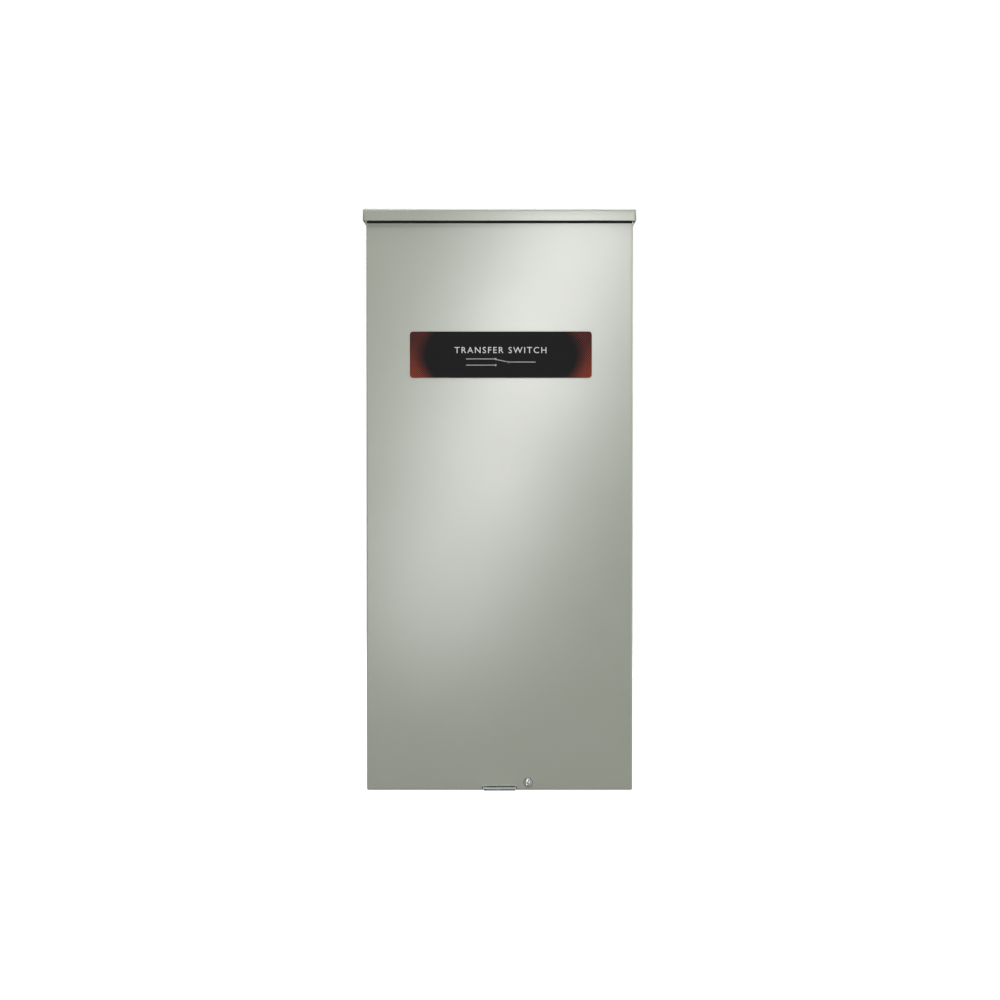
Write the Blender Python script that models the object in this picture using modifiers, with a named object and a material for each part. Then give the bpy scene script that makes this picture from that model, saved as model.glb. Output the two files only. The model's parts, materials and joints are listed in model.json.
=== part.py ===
"""Automatic transfer switch in a wall-hung outdoor enclosure, in metres.

X runs to the right for someone who stands in front of it, Y runs back to the wall and Z runs up.
The origin is on the wall face, in the middle of the width and of the height. Every piece is one object
in the collection automatic_transfer_switch, and what only cuts or joins them is in the collection tools.
A moving piece has its origin on its joint's axis.
"""

import math

import bmesh
import bpy
from mathutils import Matrix, Vector

# Enclosure
COVER_WIDTH = 0.346
HEIGHT = 0.755
DEPTH = 0.178
SHEET = 0.0016
BEND = 0.0022
FIT = 0.0003
HOOD_OVERHANG = 0.004
HOOD_LIP = 0.0155
HOOD_GAP = 0.004
HOOD_BEND = 0.0028
COVER_PLAY = 0.0009
COVER_STANDOFF = 0.003
COVER_FLANGE = 0.018
COVER_HEADROOM = 0.005
COVER_BELOW_SHELL = 0.0043
SWING_AXIS_BELOW_TOP = 0.0034
FLANGE_BELOW_AXIS = 0.0045
FLANGE_SLOPE = 40
SHELL_RETURN = 0.012
ENDWALL_FLANGE = 0.020
WALL_BOLT_X = 0.115
WALL_BOLT_HOLE = 0.0045
WALL_BOLT_BELOW_TOP = 0.0425
WALL_BOLT_ABOVE_BOTTOM = 0.0525

# Knockouts, each with the radii of its rings
LOAD_KNOCKOUT = (0.0255, 0.0380)
LOAD_KNOCKOUT_FORWARD = 0.010
CONDUIT_KNOCKOUT = (0.0175, 0.0300)
CONDUIT_X = 0.098
SIDE_KNOCKOUT = (0.0175, 0.0285)
SIDE_KNOCKOUT_UP = 0.075
BACK_KNOCKOUT = (0.0220,)
BACK_KNOCKOUT_UP = 0.052
KNOCKOUT_TIE = 0.0022
KNOCKOUT_SLOT = 0.0006

# Hasp, cover screw and label
NOTCH_WIDTH = 0.0455
NOTCH_HEIGHT = 0.0052
HASP_WIDTH = 0.0425
HASP_THICK = 0.0020
HASP_REACH = 0.018
HASP_ROOT = 0.026
PADLOCK_HOLE = 0.0048
HASP_CORNER = 0.005
SCREW_X = 0.0370
SCREW_ABOVE_BOTTOM = 0.0104
SCREW_HEAD = 0.0052
SCREW_HEAD_HEIGHT = 0.0042
SCREW_RIM = 0.0026
SCREW_SHANK = 0.0024
SCREW_POINT = 0.0008
SCREW_HOLE = 0.0030
SCREW_SLOT = (0.0013, 0.0016)
SCREW_SLOT_TILT = 57
RETAINER = (0.0048, 0.0008)
RECEIVER_HALF = 0.007
RECEIVER_DEEP = 0.005
RECEIVER_DOWN = 0.004
RECEIVER_UP = 0.010
LABEL = (0.236, 0.060)
LABEL_CENTRE = (0.0015, 0.189)
LABEL_THICK = 0.0004
LABEL_CORNER = 0.004

# Mounting panel and line barrier
PANEL_SIDE_ROOM = 0.0189
PANEL_BELOW_TOP = 0.0325
PANEL_ABOVE_BOTTOM = 0.0875
PANEL_FOOT = 0.010
PANEL_FACE = 0.0135
PANEL_SHEET = 0.0015
PANEL_BEND = 0.0015
BARRIER_AHEAD_OF_BREAKER = 0.0102
BARRIER_DROP = 0.060
BARRIER_SHEET = 0.002
BARRIER_OVERHANG = 0.004
BARRIER_FOOT = 0.016

# Two poles, shared by the breaker, the buses, the contacts and the lugs
POLE_CENTRE = 0.070
POLE_PITCH = 0.052

# Service breaker
BREAKER_WIDTH = 0.104
BREAKER_LENGTH = 0.140
BREAKER_BELOW_PANEL_TOP = 0.055
BREAKER_COVER_DEEP = 0.030
BASE_AHEAD_OF_STRAP = 0.0007
TERMINAL_RECESS = (0.026, 0.022, 0.014)
TOGGLE_AHEAD_OF_SPLIT = 0.0155
TOGGLE_SWING = 40
TOGGLE_HUB = 0.008
TOGGLE_WIDTH = 0.024
TOGGLE_THICK = 0.010
TOGGLE_REACH = 0.034
TOGGLE_EDGE = 0.0018

# Transfer switch
BASE_Z = (-0.178, 0.100)
BASE_THICK = 0.016
BASE_MARGIN = 0.012
WALL_THICK = 0.006
WALL_REACH = 0.073
WALL_HALF = 0.044
SHAFT_DEPTH = 0.0465
SHAFT_Z = 0.010
SHAFT_RADIUS = 0.004
THROW = 50
ARM_HUB = 0.010
ARM_WIDTH = 0.014
ARM_THICK = 0.005
ARM_REACH = 0.038
STRAP = 0.003
STRAP_WIDTH = 0.016
STRAP_GAP = 0.0014
FINGER_LENGTH = 0.013
FINGER_RISE = 0.048
FINGER_BEYOND_ARM = 0.004
LOAD_STRAP_ABOVE_SHAFT = 0.012
SHAFT_PAST_BASE = 0.014

# Lugs
LUG = (0.024, 0.026, 0.026)
LUG_WIRE = 0.0145
LUG_SCREW = 0.0055
LUG_SCREW_LENGTH = 0.008
LUG_SOCKET = 0.0030
LUG_SOCKET_DEEP = 0.005
LUG_SCREW_PROUD = 0.0015
LUG_EDGE = 0.0015
LINE_LUG_DEPTH = 0.019
GENERATOR_LUG_TOP = -0.072
LOAD_LUG_TOP = -0.142

# Solenoid drive
CRANK_RADIUS = 0.015
CRANK_PIN = 0.003
CRANK_HUB = 0.008
CRANK_WEB_HALF = 0.005
CRANK_PLATE = (-0.015, -0.009)
CRANK_PIN_LEFT = -0.048
PLUNGER_X = -0.029
PLUNGER_RADIUS = 0.005
YOKE = (0.018, 0.020, 0.020)
COIL_RADIUS = 0.0165
COIL_FLANGE = 0.0180
COIL_FLANGE_THICK = 0.002
COIL_LENGTH = 0.050
COIL_START = 0.040
FRAME_X = (-0.0500, -0.0095)
FRAME_SHEET = 0.002
FRAME_HALF = 0.0925
BUTTON_TRAVEL = 0.001
BUTTON_RADIUS = 0.0016
LIMIT_SWITCH = (0.010, 0.026, 0.018)
STRIKER_THICK = 0.004
STRIKER_DEEP = 0.0044
SWITCH_PLATE_HALF = 0.036
BUTTON_LENGTH = 0.005
YOKE_SLOT_PLAY = 0.0004

# Overcentre spring
SPRING_X = -0.0445
SPRING_RADIUS = 0.0035
SPRING_WIRE = 0.0006
SPRING_TURNS = 12
SPRING_STEPS = 8
ANCHOR_BEHIND_SHAFT = 0.030
SPRING_POST = 0.0030
SPRING_BRACKET_HALF = 0.006

# Controls
BOARD_X = (-0.148, -0.078)
BOARD_HEIGHT = 0.110
BOARD_BELOW_PANEL_TOP = 0.045
BOARD_STAND = 0.014
BOARD_THICK = 0.0016
BOARD_POST = 0.003
BOARD_POST_INSET = 0.006
BOARD_POST_SUNK = 0.001
BOARD_RELAY = (0.013, 0.012, 0.026)
BOARD_RELAY_PITCH = 0.016
BOARD_RELAY_UP = 0.030
RELAY_X = (-0.146, -0.108)
RELAY_Z = (0.118, 0.160)
RELAY_BASE = 0.014
RELAY_COVER = 0.038
RELAY_WALL = 0.0012
RELAY_FOOT = (0.002, 0.007)
RELAY_CORE = 0.024
RELAY_COIL = 0.009
RELAY_AIR_GAP = 0.0025
ARMATURE_THICK = 0.0015
ARMATURE_HALF = 0.008
ARMATURE_SWING = 4
FUSE_X = -0.074
FUSE_PITCH = 0.014
FUSE_RADIUS = 0.00515
FUSE_LENGTH = 0.038
FUSE_Z = 0.139
FUSE_FLOOR = 0.012
FUSE_STOP = 0.008
FUSE_STOP_RISE = 0.007
STRIP_X = (-0.146, -0.066)
STRIP_Z = (0.062, 0.086)
STRIP_WAYS = 8
STRIP_DEEP = 0.009
STRIP_FIN = (0.0016, 0.015)

# Neutral, ground and bond
NEUTRAL_X = (-0.140, -0.112)
NEUTRAL_Z = (-0.170, -0.020)
NEUTRAL_STAND = 0.018
NEUTRAL_DEEP = 0.022
NEUTRAL_WIRE = 0.0145
NEUTRAL_WIRES_DOWN = (0.016, 0.044)
INSULATOR_MARGIN = (0.004, 0.006)
GROUND_X = (-0.092, -0.076)
GROUND_Z = (-0.170, -0.060)
GROUND_DEEP = 0.013
JUMPER_THICK = 0.0015
JUMPER_WIDTH = 0.012
JUMPER_UP = 0.006
HARNESS_RADIUS = 0.003

# Manual handle
HANDLE_REACH = 0.052
HANDLE_THICK = 0.006
HANDLE_GRIP = 0.0055
HANDLE_HUB = 0.009
HANDLE_HALF = 0.0045
HANDLE_PEG = 0.012
HANDLE_GAP = 0.005

# Places that follow from the sizes above. Depths are written as Y, which is negative in front of the wall.
TOP = HEIGHT / 2
BOTTOM = -HEIGHT / 2
COVER_FACE = -DEPTH
COVER_BACK = COVER_FACE + SHEET
SHELL_FRONT = COVER_BACK + COVER_STANDOFF
SHELL_HALF = COVER_WIDTH / 2 - SHEET - COVER_PLAY
SHELL_INSIDE = SHELL_HALF - SHEET
SHELL_TOP = TOP - SHEET - FIT
SHELL_BOTTOM = BOTTOM + COVER_BELOW_SHELL
COVER_TOP = SHELL_TOP - COVER_HEADROOM
SWING_Z = COVER_TOP - SWING_AXIS_BELOW_TOP
SWING_Y = COVER_FACE + SHEET / 2
ENDWALL_FRONT = SHELL_FRONT + SHEET + FIT
SCREW_Z = BOTTOM + SCREW_ABOVE_BOTTOM
SCREW_LIFT = ENDWALL_FRONT - COVER_BACK - RETAINER[1] - 2 * FIT
RECEIVER_FRONT = ENDWALL_FRONT + SHEET + FIT
PANEL_X = SHELL_INSIDE - PANEL_SIDE_ROOM
PANEL_Z = (BOTTOM + PANEL_ABOVE_BOTTOM, TOP - PANEL_BELOW_TOP)
PANEL_Y = -PANEL_FACE
DEVICE_BACK = PANEL_Y - FIT
POLES = (POLE_CENTRE - POLE_PITCH / 2, POLE_CENTRE + POLE_PITCH / 2)
SHAFT_Y = PANEL_Y - SHAFT_DEPTH
BASE_FRONT = DEVICE_BACK - BASE_THICK
BASE_HALF = POLE_PITCH / 2 + STRAP_WIDTH / 2 + BASE_MARGIN + WALL_THICK
BASE_X = (POLE_CENTRE - BASE_HALF, POLE_CENTRE + BASE_HALF)
LOAD_STRAP_Y = SHAFT_Y + ARM_HUB + FIT + STRAP / 2
LINE_STRAP_Y = LOAD_STRAP_Y - STRAP - STRAP_GAP
REST_TILT = math.radians(THROW / 2)
THROW_TRAVEL = 2 * CRANK_RADIUS * math.sin(REST_TILT)
PIN_Z = SHAFT_Z + CRANK_RADIUS * math.sin(REST_TILT)
PLUNGER_Y = SHAFT_Y - CRANK_RADIUS * (1 + math.cos(REST_TILT)) / 2
STRIKER_Y = PLUNGER_Y - YOKE[1] / 2 + STRIKER_DEEP / 2
BREAKER_TOP = PANEL_Z[1] - BREAKER_BELOW_PANEL_TOP
BREAKER_Z = (BREAKER_TOP - BREAKER_LENGTH, BREAKER_TOP)
BREAKER_SPLIT = LINE_STRAP_Y - STRAP / 2 - BASE_AHEAD_OF_STRAP
BREAKER_FRONT = BREAKER_SPLIT - BREAKER_COVER_DEEP
TOGGLE_Y = BREAKER_SPLIT - TOGGLE_AHEAD_OF_SPLIT
TOGGLE_Z = sum(BREAKER_Z) / 2
BOARD_TOP = PANEL_Z[1] - BOARD_BELOW_PANEL_TOP

FINISHES = {
    "grey_green_paint": ((0.50, 0.52, 0.47), 0.42, 0.15),
    "label_black": ((0.03, 0.03, 0.03), 0.35, 0.0),
    "zinc": ((0.72, 0.73, 0.74), 0.28, 1.0),
    "galvanised": ((0.62, 0.64, 0.66), 0.42, 0.9),
    "black_moulding": ((0.035, 0.036, 0.040), 0.45, 0.0),
    "brown_moulding": ((0.16, 0.07, 0.035), 0.5, 0.0),
    "white_moulding": ((0.75, 0.75, 0.72), 0.45, 0.0),
    "red_plastic": ((0.55, 0.05, 0.03), 0.4, 0.0),
    "copper": ((0.80, 0.42, 0.26), 0.3, 1.0),
    "aluminium": ((0.75, 0.76, 0.77), 0.38, 1.0),
    "steel": ((0.48, 0.49, 0.50), 0.35, 1.0),
    "winding": ((0.55, 0.40, 0.08), 0.5, 0.1),
    "board_green": ((0.03, 0.20, 0.09), 0.45, 0.0),
    "clear_plastic": ((0.80, 0.84, 0.86), 0.15, 0.0),
    "fuse_body": ((0.80, 0.76, 0.62), 0.5, 0.0),
    "wire_blue": ((0.05, 0.10, 0.35), 0.5, 0.0),
}


def clear_scene():
    for thing in list(bpy.data.objects):
        bpy.data.objects.remove(thing)


def new_collection(name):
    group = bpy.data.collections.new(name)
    bpy.context.scene.collection.children.link(group)
    return group


def new_material(name):
    color, roughness, metallic = FINISHES[name]
    material = bpy.data.materials.new(name)
    material.use_nodes = True
    shader = material.node_tree.nodes["Principled BSDF"]
    shader.inputs["Base Color"].default_value = (*color, 1)
    shader.inputs["Roughness"].default_value = roughness
    shader.inputs["Metallic"].default_value = metallic
    return material


clear_scene()
PARTS = new_collection("automatic_transfer_switch")
TOOLS = new_collection("tools")
TOOLS.hide_render = True
MATERIALS = {name: new_material(name) for name in FINISHES}


def add(name, shape, finish):
    """Makes an object from a bmesh. Without a finish it is a tool, which the render leaves out."""
    mesh = bpy.data.meshes.new(name)
    shape.to_mesh(mesh)
    shape.free()
    return add_mesh(name, mesh, finish)


def add_mesh(name, mesh, finish):
    thing = bpy.data.objects.new(name, mesh)
    if finish is None:
        TOOLS.objects.link(thing)
        thing.hide_render = True
        thing.display_type = "WIRE"
        return thing
    PARTS.objects.link(thing)
    mesh.materials.append(MATERIALS[finish])
    mesh.shade_smooth()
    mesh.set_sharp_from_angle(angle=math.radians(35))
    return thing


def round_edges(thing, width, segments=2):
    bevel = thing.modifiers.new("rounded_edges", "BEVEL")
    bevel.width = width
    bevel.segments = segments
    bevel.limit_method = "ANGLE"
    bevel.angle_limit = math.radians(40)


def box_shape(low, high):
    shape = bmesh.new()
    bmesh.ops.create_cube(shape, size=1)
    size = [b - a for a, b in zip(low, high)]
    middle = [(a + b) / 2 for a, b in zip(low, high)]
    bmesh.ops.scale(shape, vec=size, verts=shape.verts)
    bmesh.ops.translate(shape, vec=middle, verts=shape.verts)
    return shape


def block(name, low, high, finish=None, edge=0.0):
    thing = add(name, box_shape(low, high), finish)
    if edge:
        round_edges(thing, edge)
    return thing


def rod(name, start, end, radius, finish=None, sides=24, edge=0.0):
    """A cylinder between two points, or a prism when it has few sides."""
    start = Vector(start)
    along = Vector(end) - start
    shape = bmesh.new()
    bmesh.ops.create_cone(
        shape, cap_ends=True, segments=sides, radius1=radius, radius2=radius, depth=along.length
    )
    turn = along.to_track_quat("Z", "Y").to_matrix().to_4x4()
    bmesh.ops.transform(shape, matrix=Matrix.Translation(start + along / 2) @ turn, verts=shape.verts)
    thing = add(name, shape, finish)
    if edge:
        round_edges(thing, edge, 1)
    return thing


def turned(name, profile, place, axis, finish, steps=32):
    """Turns a profile of (radius, height) pairs about an axis. It runs from its top down its outer side."""
    shape = bmesh.new()
    corners = [shape.verts.new((radius, 0, height)) for radius, height in profile]
    for a, b in zip(corners, corners[1:]):
        shape.edges.new((a, b))
    thing = add(name, shape, finish)
    screw = thing.modifiers.new("turned", "SCREW")
    screw.axis = "Z"
    screw.steps = steps
    screw.render_steps = steps
    screw.use_merge_vertices = True
    screw.merge_threshold = 0.00001
    thing.location = place
    thing.rotation_euler = Vector(axis).to_track_quat("Z", "Y").to_euler()
    return thing


def facing(normal):
    k = max(range(3), key=lambda i: abs(normal[i]))
    return ("+" if normal[k] > 0 else "-") + "XYZ"[k]


def pan(name, low, high, open_sides, finish, thickness=SHEET, bend=BEND):
    """A bent sheet-metal pan: a box without its open sides. low and high are its outer corners."""
    low, high = list(low), list(high)
    for k, letter in enumerate("XYZ"):
        low[k] += 0 if "-" + letter in open_sides else thickness / 2
        high[k] -= 0 if "+" + letter in open_sides else thickness / 2
    shape = box_shape(low, high)
    gone = [face for face in shape.faces if facing(face.normal) in open_sides]
    bmesh.ops.delete(shape, geom=gone, context="FACES")
    thing = add(name, shape, finish)
    round_edges(thing, bend - thickness / 2, 3)
    thicken(thing, thickness)
    return thing


def bent_sheet(name, path, plane, span, finish, thickness, bend=0.0):
    """A sheet bent along a path of points in a plane such as YZ, and as wide as span on the third axis.

    The path runs in the middle of the sheet's thickness.
    """
    across = next(k for k in range(3) if "XYZ"[k] not in plane)
    u, v = ("XYZ".index(letter) for letter in plane)
    shape = bmesh.new()
    corners = []
    for point in path:
        place = [0.0, 0.0, 0.0]
        place[u], place[v] = point
        place[across] = span[0]
        corners.append(shape.verts.new(place))
    edges = [shape.edges.new(pair) for pair in zip(corners, corners[1:])]
    grown = bmesh.ops.extrude_edge_only(shape, edges=edges)["geom"]
    step = [0.0, 0.0, 0.0]
    step[across] = span[1] - span[0]
    moved = [item for item in grown if isinstance(item, bmesh.types.BMVert)]
    bmesh.ops.translate(shape, vec=step, verts=moved)
    thing = add(name, shape, finish)
    if bend:
        round_edges(thing, bend, 3)
    thicken(thing, thickness)
    return thing


def thicken(thing, thickness):
    solid = thing.modifiers.new("sheet_thickness", "SOLIDIFY")
    solid.thickness = thickness
    solid.offset = 0
    solid.use_even_offset = True


def boolean(piece, others, operation):
    for other in others:
        step = piece.modifiers.new(operation.lower(), "BOOLEAN")
        step.operation = operation
        step.object = other
    return piece


def cut(piece, *others):
    return boolean(piece, others, "DIFFERENCE")


def join(piece, *others):
    return boolean(piece, others, "UNION")


def pivot_on(piece, origin, turn_x=0.0):
    """Puts a piece's origin on its joint's axis, and turns it and its tools about X from there."""
    origin = Vector(origin)
    piece.data.transform(Matrix.Translation(-origin))
    piece.location = origin
    piece.rotation_euler.x = turn_x
    for step in piece.modifiers:
        tool = getattr(step, "object", None)
        if tool:
            tool.parent = piece
            tool.matrix_parent_inverse = Matrix.Translation(-origin)
    return piece


def arc_slot(name, centre, axis, radius, start, sweep, deep, wide=KNOCKOUT_SLOT, steps=10):
    """A cutter for one part of a knockout's ring: a slot that follows an arc about an axis."""
    k = "XYZ".index(axis)
    i, j = (k + 1) % 3, (k + 2) % 3
    shape = bmesh.new()
    section = []
    for out, along in ((0, -1), (wide, -1), (wide, 1), (0, 1)):
        place = list(centre)
        place[i] += (radius + out) * math.cos(start)
        place[j] += (radius + out) * math.sin(start)
        place[k] += along * deep / 2
        section.append(shape.verts.new(place))
    face = shape.faces.new(section)
    turn_axis = [0.0, 0.0, 0.0]
    turn_axis[k] = 1.0
    bmesh.ops.spin(
        shape, geom=[face], cent=centre, axis=turn_axis, angle=sweep, steps=steps, use_duplicate=False
    )
    bmesh.ops.recalc_face_normals(shape, faces=shape.faces)
    return add(name, shape, None)


def knockout(piece, name, centre, axis, radii):
    """Cuts concentric knockout rings, each held by two ties."""
    for ring, radius in enumerate(radii):
        tie_angle = KNOCKOUT_TIE / radius
        quarter = ring * math.pi / 2
        for half in (0, 1):
            start = quarter + half * math.pi + tie_angle / 2
            slot = arc_slot(
                f"{name}_{ring}_{half}", centre, axis, radius, start, math.pi - tie_angle, 4 * SHEET
            )
            cut(piece, slot)


def flat_plate(name, outline, plane_y, thickness, finish):
    """A flat plate whose outline is in the XZ plane: a filled 2D curve, made a mesh."""
    curve = bpy.data.curves.new(name, "CURVE")
    curve.dimensions = "2D"
    curve.fill_mode = "BOTH"
    curve.extrude = thickness / 2
    spline = curve.splines.new("POLY")
    spline.points.add(len(outline) - 1)
    for point, (x, z) in zip(spline.points, outline):
        point.co = (x, z, 0, 1)
    spline.use_cyclic_u = True
    guide = bpy.data.objects.new(name + "_outline", curve)
    TOOLS.objects.link(guide)
    guide.matrix_world = Matrix.Translation((0, plane_y, 0)) @ Matrix.Rotation(math.pi / 2, 4, "X")
    return solid_from_curve(guide, name, finish)


def solid_from_curve(guide, name, finish):
    bpy.context.view_layer.update()
    graph = bpy.context.evaluated_depsgraph_get()
    mesh = bpy.data.meshes.new_from_object(guide.evaluated_get(graph))
    mesh.name = name
    mesh.transform(guide.matrix_world)
    shape = bmesh.new()
    shape.from_mesh(mesh)
    bmesh.ops.remove_doubles(shape, verts=shape.verts, dist=0.00001)
    bmesh.ops.recalc_face_normals(shape, faces=shape.faces)
    shape.to_mesh(mesh)
    shape.free()
    bpy.data.objects.remove(guide)
    mesh.materials.clear()
    return add_mesh(name, mesh, finish)


def rounded_rectangle(centre, size, radius, steps=4):
    corners = []
    for sx, sz, first in ((1, 1, 0), (-1, 1, 90), (-1, -1, 180), (1, -1, 270)):
        cx = centre[0] + sx * (size[0] / 2 - radius)
        cz = centre[1] + sz * (size[1] / 2 - radius)
        for step in range(steps + 1):
            angle = math.radians(first + 90 * step / steps)
            corners.append((cx + radius * math.cos(angle), cz + radius * math.sin(angle)))
    return corners


def tube(name, points, radius, finish, resolution=2):
    curve = bpy.data.curves.new(name, "CURVE")
    curve.dimensions = "3D"
    curve.bevel_depth = radius
    curve.bevel_resolution = resolution
    curve.use_fill_caps = True
    spline = curve.splines.new("POLY")
    spline.points.add(len(points) - 1)
    for point, place in zip(spline.points, points):
        point.co = (*place, 1)
    guide = bpy.data.objects.new(name + "_route", curve)
    TOOLS.objects.link(guide)
    return solid_from_curve(guide, name, finish)


# --- Enclosure -------------------------------------------------------------------------------------------


def make_shell():
    half, inside = SHELL_HALF - SHEET / 2, SHELL_HALF - SHELL_RETURN
    back, front = -SHEET / 2, SHELL_FRONT + SHEET / 2
    right_half = [(half, back), (half, front), (inside, front)]
    path = [(-x, y) for x, y in reversed(right_half)] + right_half
    shell = bent_sheet(
        "enclosure_shell", path, "XY", (SHELL_BOTTOM, SHELL_TOP), "grey_green_paint", SHEET, BEND - SHEET / 2
    )
    for z in (TOP - WALL_BOLT_BELOW_TOP, BOTTOM + WALL_BOLT_ABOVE_BOTTOM):
        for x in (-WALL_BOLT_X, WALL_BOLT_X):
            ends = (x, -2 * SHEET, z), (x, 2 * SHEET, z)
            cut(shell, rod("wall_bolt_hole", *ends, WALL_BOLT_HOLE, sides=16))
    for side in (-1, 1):
        centre = (side * half, SHELL_FRONT / 2, SHELL_BOTTOM + SIDE_KNOCKOUT_UP)
        knockout(shell, f"side_knockout_{side + 1}", centre, "X", SIDE_KNOCKOUT)
    knockout(shell, "back_knockout", (0.0, back, SHELL_BOTTOM + BACK_KNOCKOUT_UP), "Y", BACK_KNOCKOUT)


def make_hood():
    half = COVER_WIDTH / 2 + HOOD_OVERHANG
    front = COVER_FACE - HOOD_GAP - SHEET
    pan(
        "hood",
        (-half, front, TOP - HOOD_LIP),
        (half, -FIT, TOP),
        ("-Z", "+Y"),
        "grey_green_paint",
        bend=HOOD_BEND,
    )


def make_bottom_endwall():
    half = SHELL_INSIDE - FIT
    low = (-half, ENDWALL_FRONT, SHELL_BOTTOM)
    high = (half, -SHEET - FIT, SHELL_BOTTOM + ENDWALL_FLANGE)
    endwall = pan("bottom_endwall", low, high, ("+Z",), "grey_green_paint")
    plate = SHELL_BOTTOM + SHEET / 2
    middle = ENDWALL_FRONT / 2
    knockout(endwall, "load_knockout", (0.0, middle - LOAD_KNOCKOUT_FORWARD, plate), "Z", LOAD_KNOCKOUT)
    knockout(endwall, "line_knockout", (CONDUIT_X, middle, plate), "Z", CONDUIT_KNOCKOUT)
    knockout(endwall, "generator_knockout", (-CONDUIT_X, middle, plate), "Z", CONDUIT_KNOCKOUT)
    hole = rod(
        "screw_receiver_hole",
        (SCREW_X, ENDWALL_FRONT - SHEET, SCREW_Z),
        (SCREW_X, ENDWALL_FRONT + 2 * SHEET, SCREW_Z),
        SCREW_HOLE + FIT,
        sides=20,
    )
    cut(endwall, hole)


def make_hasp():
    low = (-HASP_WIDTH / 2, COVER_FACE - HASP_REACH, SHELL_BOTTOM - FIT - HASP_THICK)
    high = (HASP_WIDTH / 2, ENDWALL_FRONT + HASP_ROOT, SHELL_BOTTOM - FIT)
    shape = box_shape(low, high)
    upright = [
        edge
        for edge in shape.edges
        if edge.calc_length() < 2 * HASP_THICK and edge.verts[0].co.y < COVER_FACE
    ]
    bmesh.ops.bevel(
        shape, geom=upright, offset=HASP_CORNER, segments=4, profile=0.5, affect="EDGES", material=-1
    )
    hasp = add("padlock_hasp", shape, "galvanised")
    hole_y = COVER_FACE - HASP_REACH / 2
    hole = rod(
        "padlock_hole", (0, hole_y, low[2] - HASP_THICK), (0, hole_y, high[2] + HASP_THICK), PADLOCK_HOLE
    )
    cut(hasp, hole)


def make_screw_receiver():
    """The pressed nut behind the bottom endwall that the cover screw is turned into."""
    nut = block(
        "screw_receiver",
        (SCREW_X - RECEIVER_HALF, RECEIVER_FRONT, SCREW_Z - RECEIVER_DOWN),
        (SCREW_X + RECEIVER_HALF, RECEIVER_FRONT + RECEIVER_DEEP, SCREW_Z + RECEIVER_UP),
        "zinc",
        0.0006,
    )
    bore = rod(
        "receiver_bore",
        (SCREW_X, RECEIVER_FRONT - RECEIVER_DEEP, SCREW_Z),
        (SCREW_X, RECEIVER_FRONT + 2 * RECEIVER_DEEP, SCREW_Z),
        SCREW_HOLE,
    )
    cut(nut, bore)


def make_cover():
    half = COVER_WIDTH / 2
    back = COVER_FACE + COVER_FLANGE
    cover = pan(
        "cover", (-half, COVER_FACE, BOTTOM), (half, back, COVER_TOP), ("+Y", "+Z"), "grey_green_paint"
    )
    notch = block(
        "hasp_notch",
        (-NOTCH_WIDTH / 2, COVER_FACE - SHEET, BOTTOM - SHEET),
        (NOTCH_WIDTH / 2, back + SHEET, BOTTOM + NOTCH_HEIGHT),
    )
    hole = rod(
        "cover_screw_hole",
        (SCREW_X, COVER_FACE - SHEET, SCREW_Z),
        (SCREW_X, COVER_BACK + SHEET, SCREW_Z),
        SCREW_HOLE,
    )
    cut(cover, notch, hole)
    flange_top = SWING_Z - FLANGE_BELOW_AXIS
    for side in (-1, 1):
        outer, inner = side * (half + SHEET), side * (half - 2 * SHEET)
        low = (min(outer, inner), COVER_BACK + FIT, flange_top)
        high = (max(outer, inner), back + 4 * SHEET, COVER_TOP + COVER_FLANGE)
        clearance = block(f"flange_clearance_{side + 1}", low, high)
        pivot_on(clearance, (0, COVER_BACK + FIT, flange_top), -math.radians(FLANGE_SLOPE))
        cut(cover, clearance)
    pivot_on(cover, (0, SWING_Y, SWING_Z))


def make_label():
    outline = rounded_rectangle(LABEL_CENTRE, LABEL, LABEL_CORNER)
    plane = COVER_FACE - FIT - LABEL_THICK / 2
    label = flat_plate("front_label", outline, plane, LABEL_THICK, "label_black")
    pivot_on(label, (0, SWING_Y, SWING_Z))


def make_cover_screw():
    """A captive screw. Backed out by SCREW_LIFT it leaves its nut, and the retainer meets the cover."""
    head_back = COVER_FACE - FIT
    crown = head_back - SCREW_HEAD_HEIGHT
    tip = RECEIVER_FRONT + SCREW_LIFT - FIT
    side = head_back - SCREW_RIM
    steps = 4
    profile = [(0, -crown)]
    for step in range(1, steps + 1):
        angle = math.pi / 2 * step / steps
        profile.append((SCREW_HEAD * math.sin(angle), -side + (side - crown) * math.cos(angle)))
    profile += [(SCREW_HEAD, -head_back), (SCREW_SHANK, -head_back)]
    profile += [(SCREW_SHANK, -tip + SCREW_POINT), (SCREW_SHANK - SCREW_POINT, -tip), (0, -tip)]
    screw = turned("cover_screw", profile, (SCREW_X, 0, SCREW_Z), (0, -1, 0), "zinc", steps=24)
    wide, deep = SCREW_SLOT
    slot = block(
        "screw_slot",
        (-2 * SCREW_HEAD, crown - deep, -wide / 2),
        (2 * SCREW_HEAD, crown + deep, wide / 2),
    )
    slot.location = (SCREW_X, 0, SCREW_Z)
    slot.rotation_euler.y = -math.radians(SCREW_SLOT_TILT)
    cut(screw, slot)
    radius, thick = RETAINER
    front = COVER_BACK + FIT + SCREW_LIFT
    back = front + thick
    washer = rod("cover_screw_retainer", (SCREW_X, front, SCREW_Z), (SCREW_X, back, SCREW_Z), radius, "zinc")
    bore = rod(
        "retainer_bore",
        (SCREW_X, front - thick, SCREW_Z),
        (SCREW_X, back + thick, SCREW_Z),
        SCREW_SHANK + FIT,
    )
    cut(washer, bore)


# --- Mounting panel and line barrier ---------------------------------------------------------------------


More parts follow.
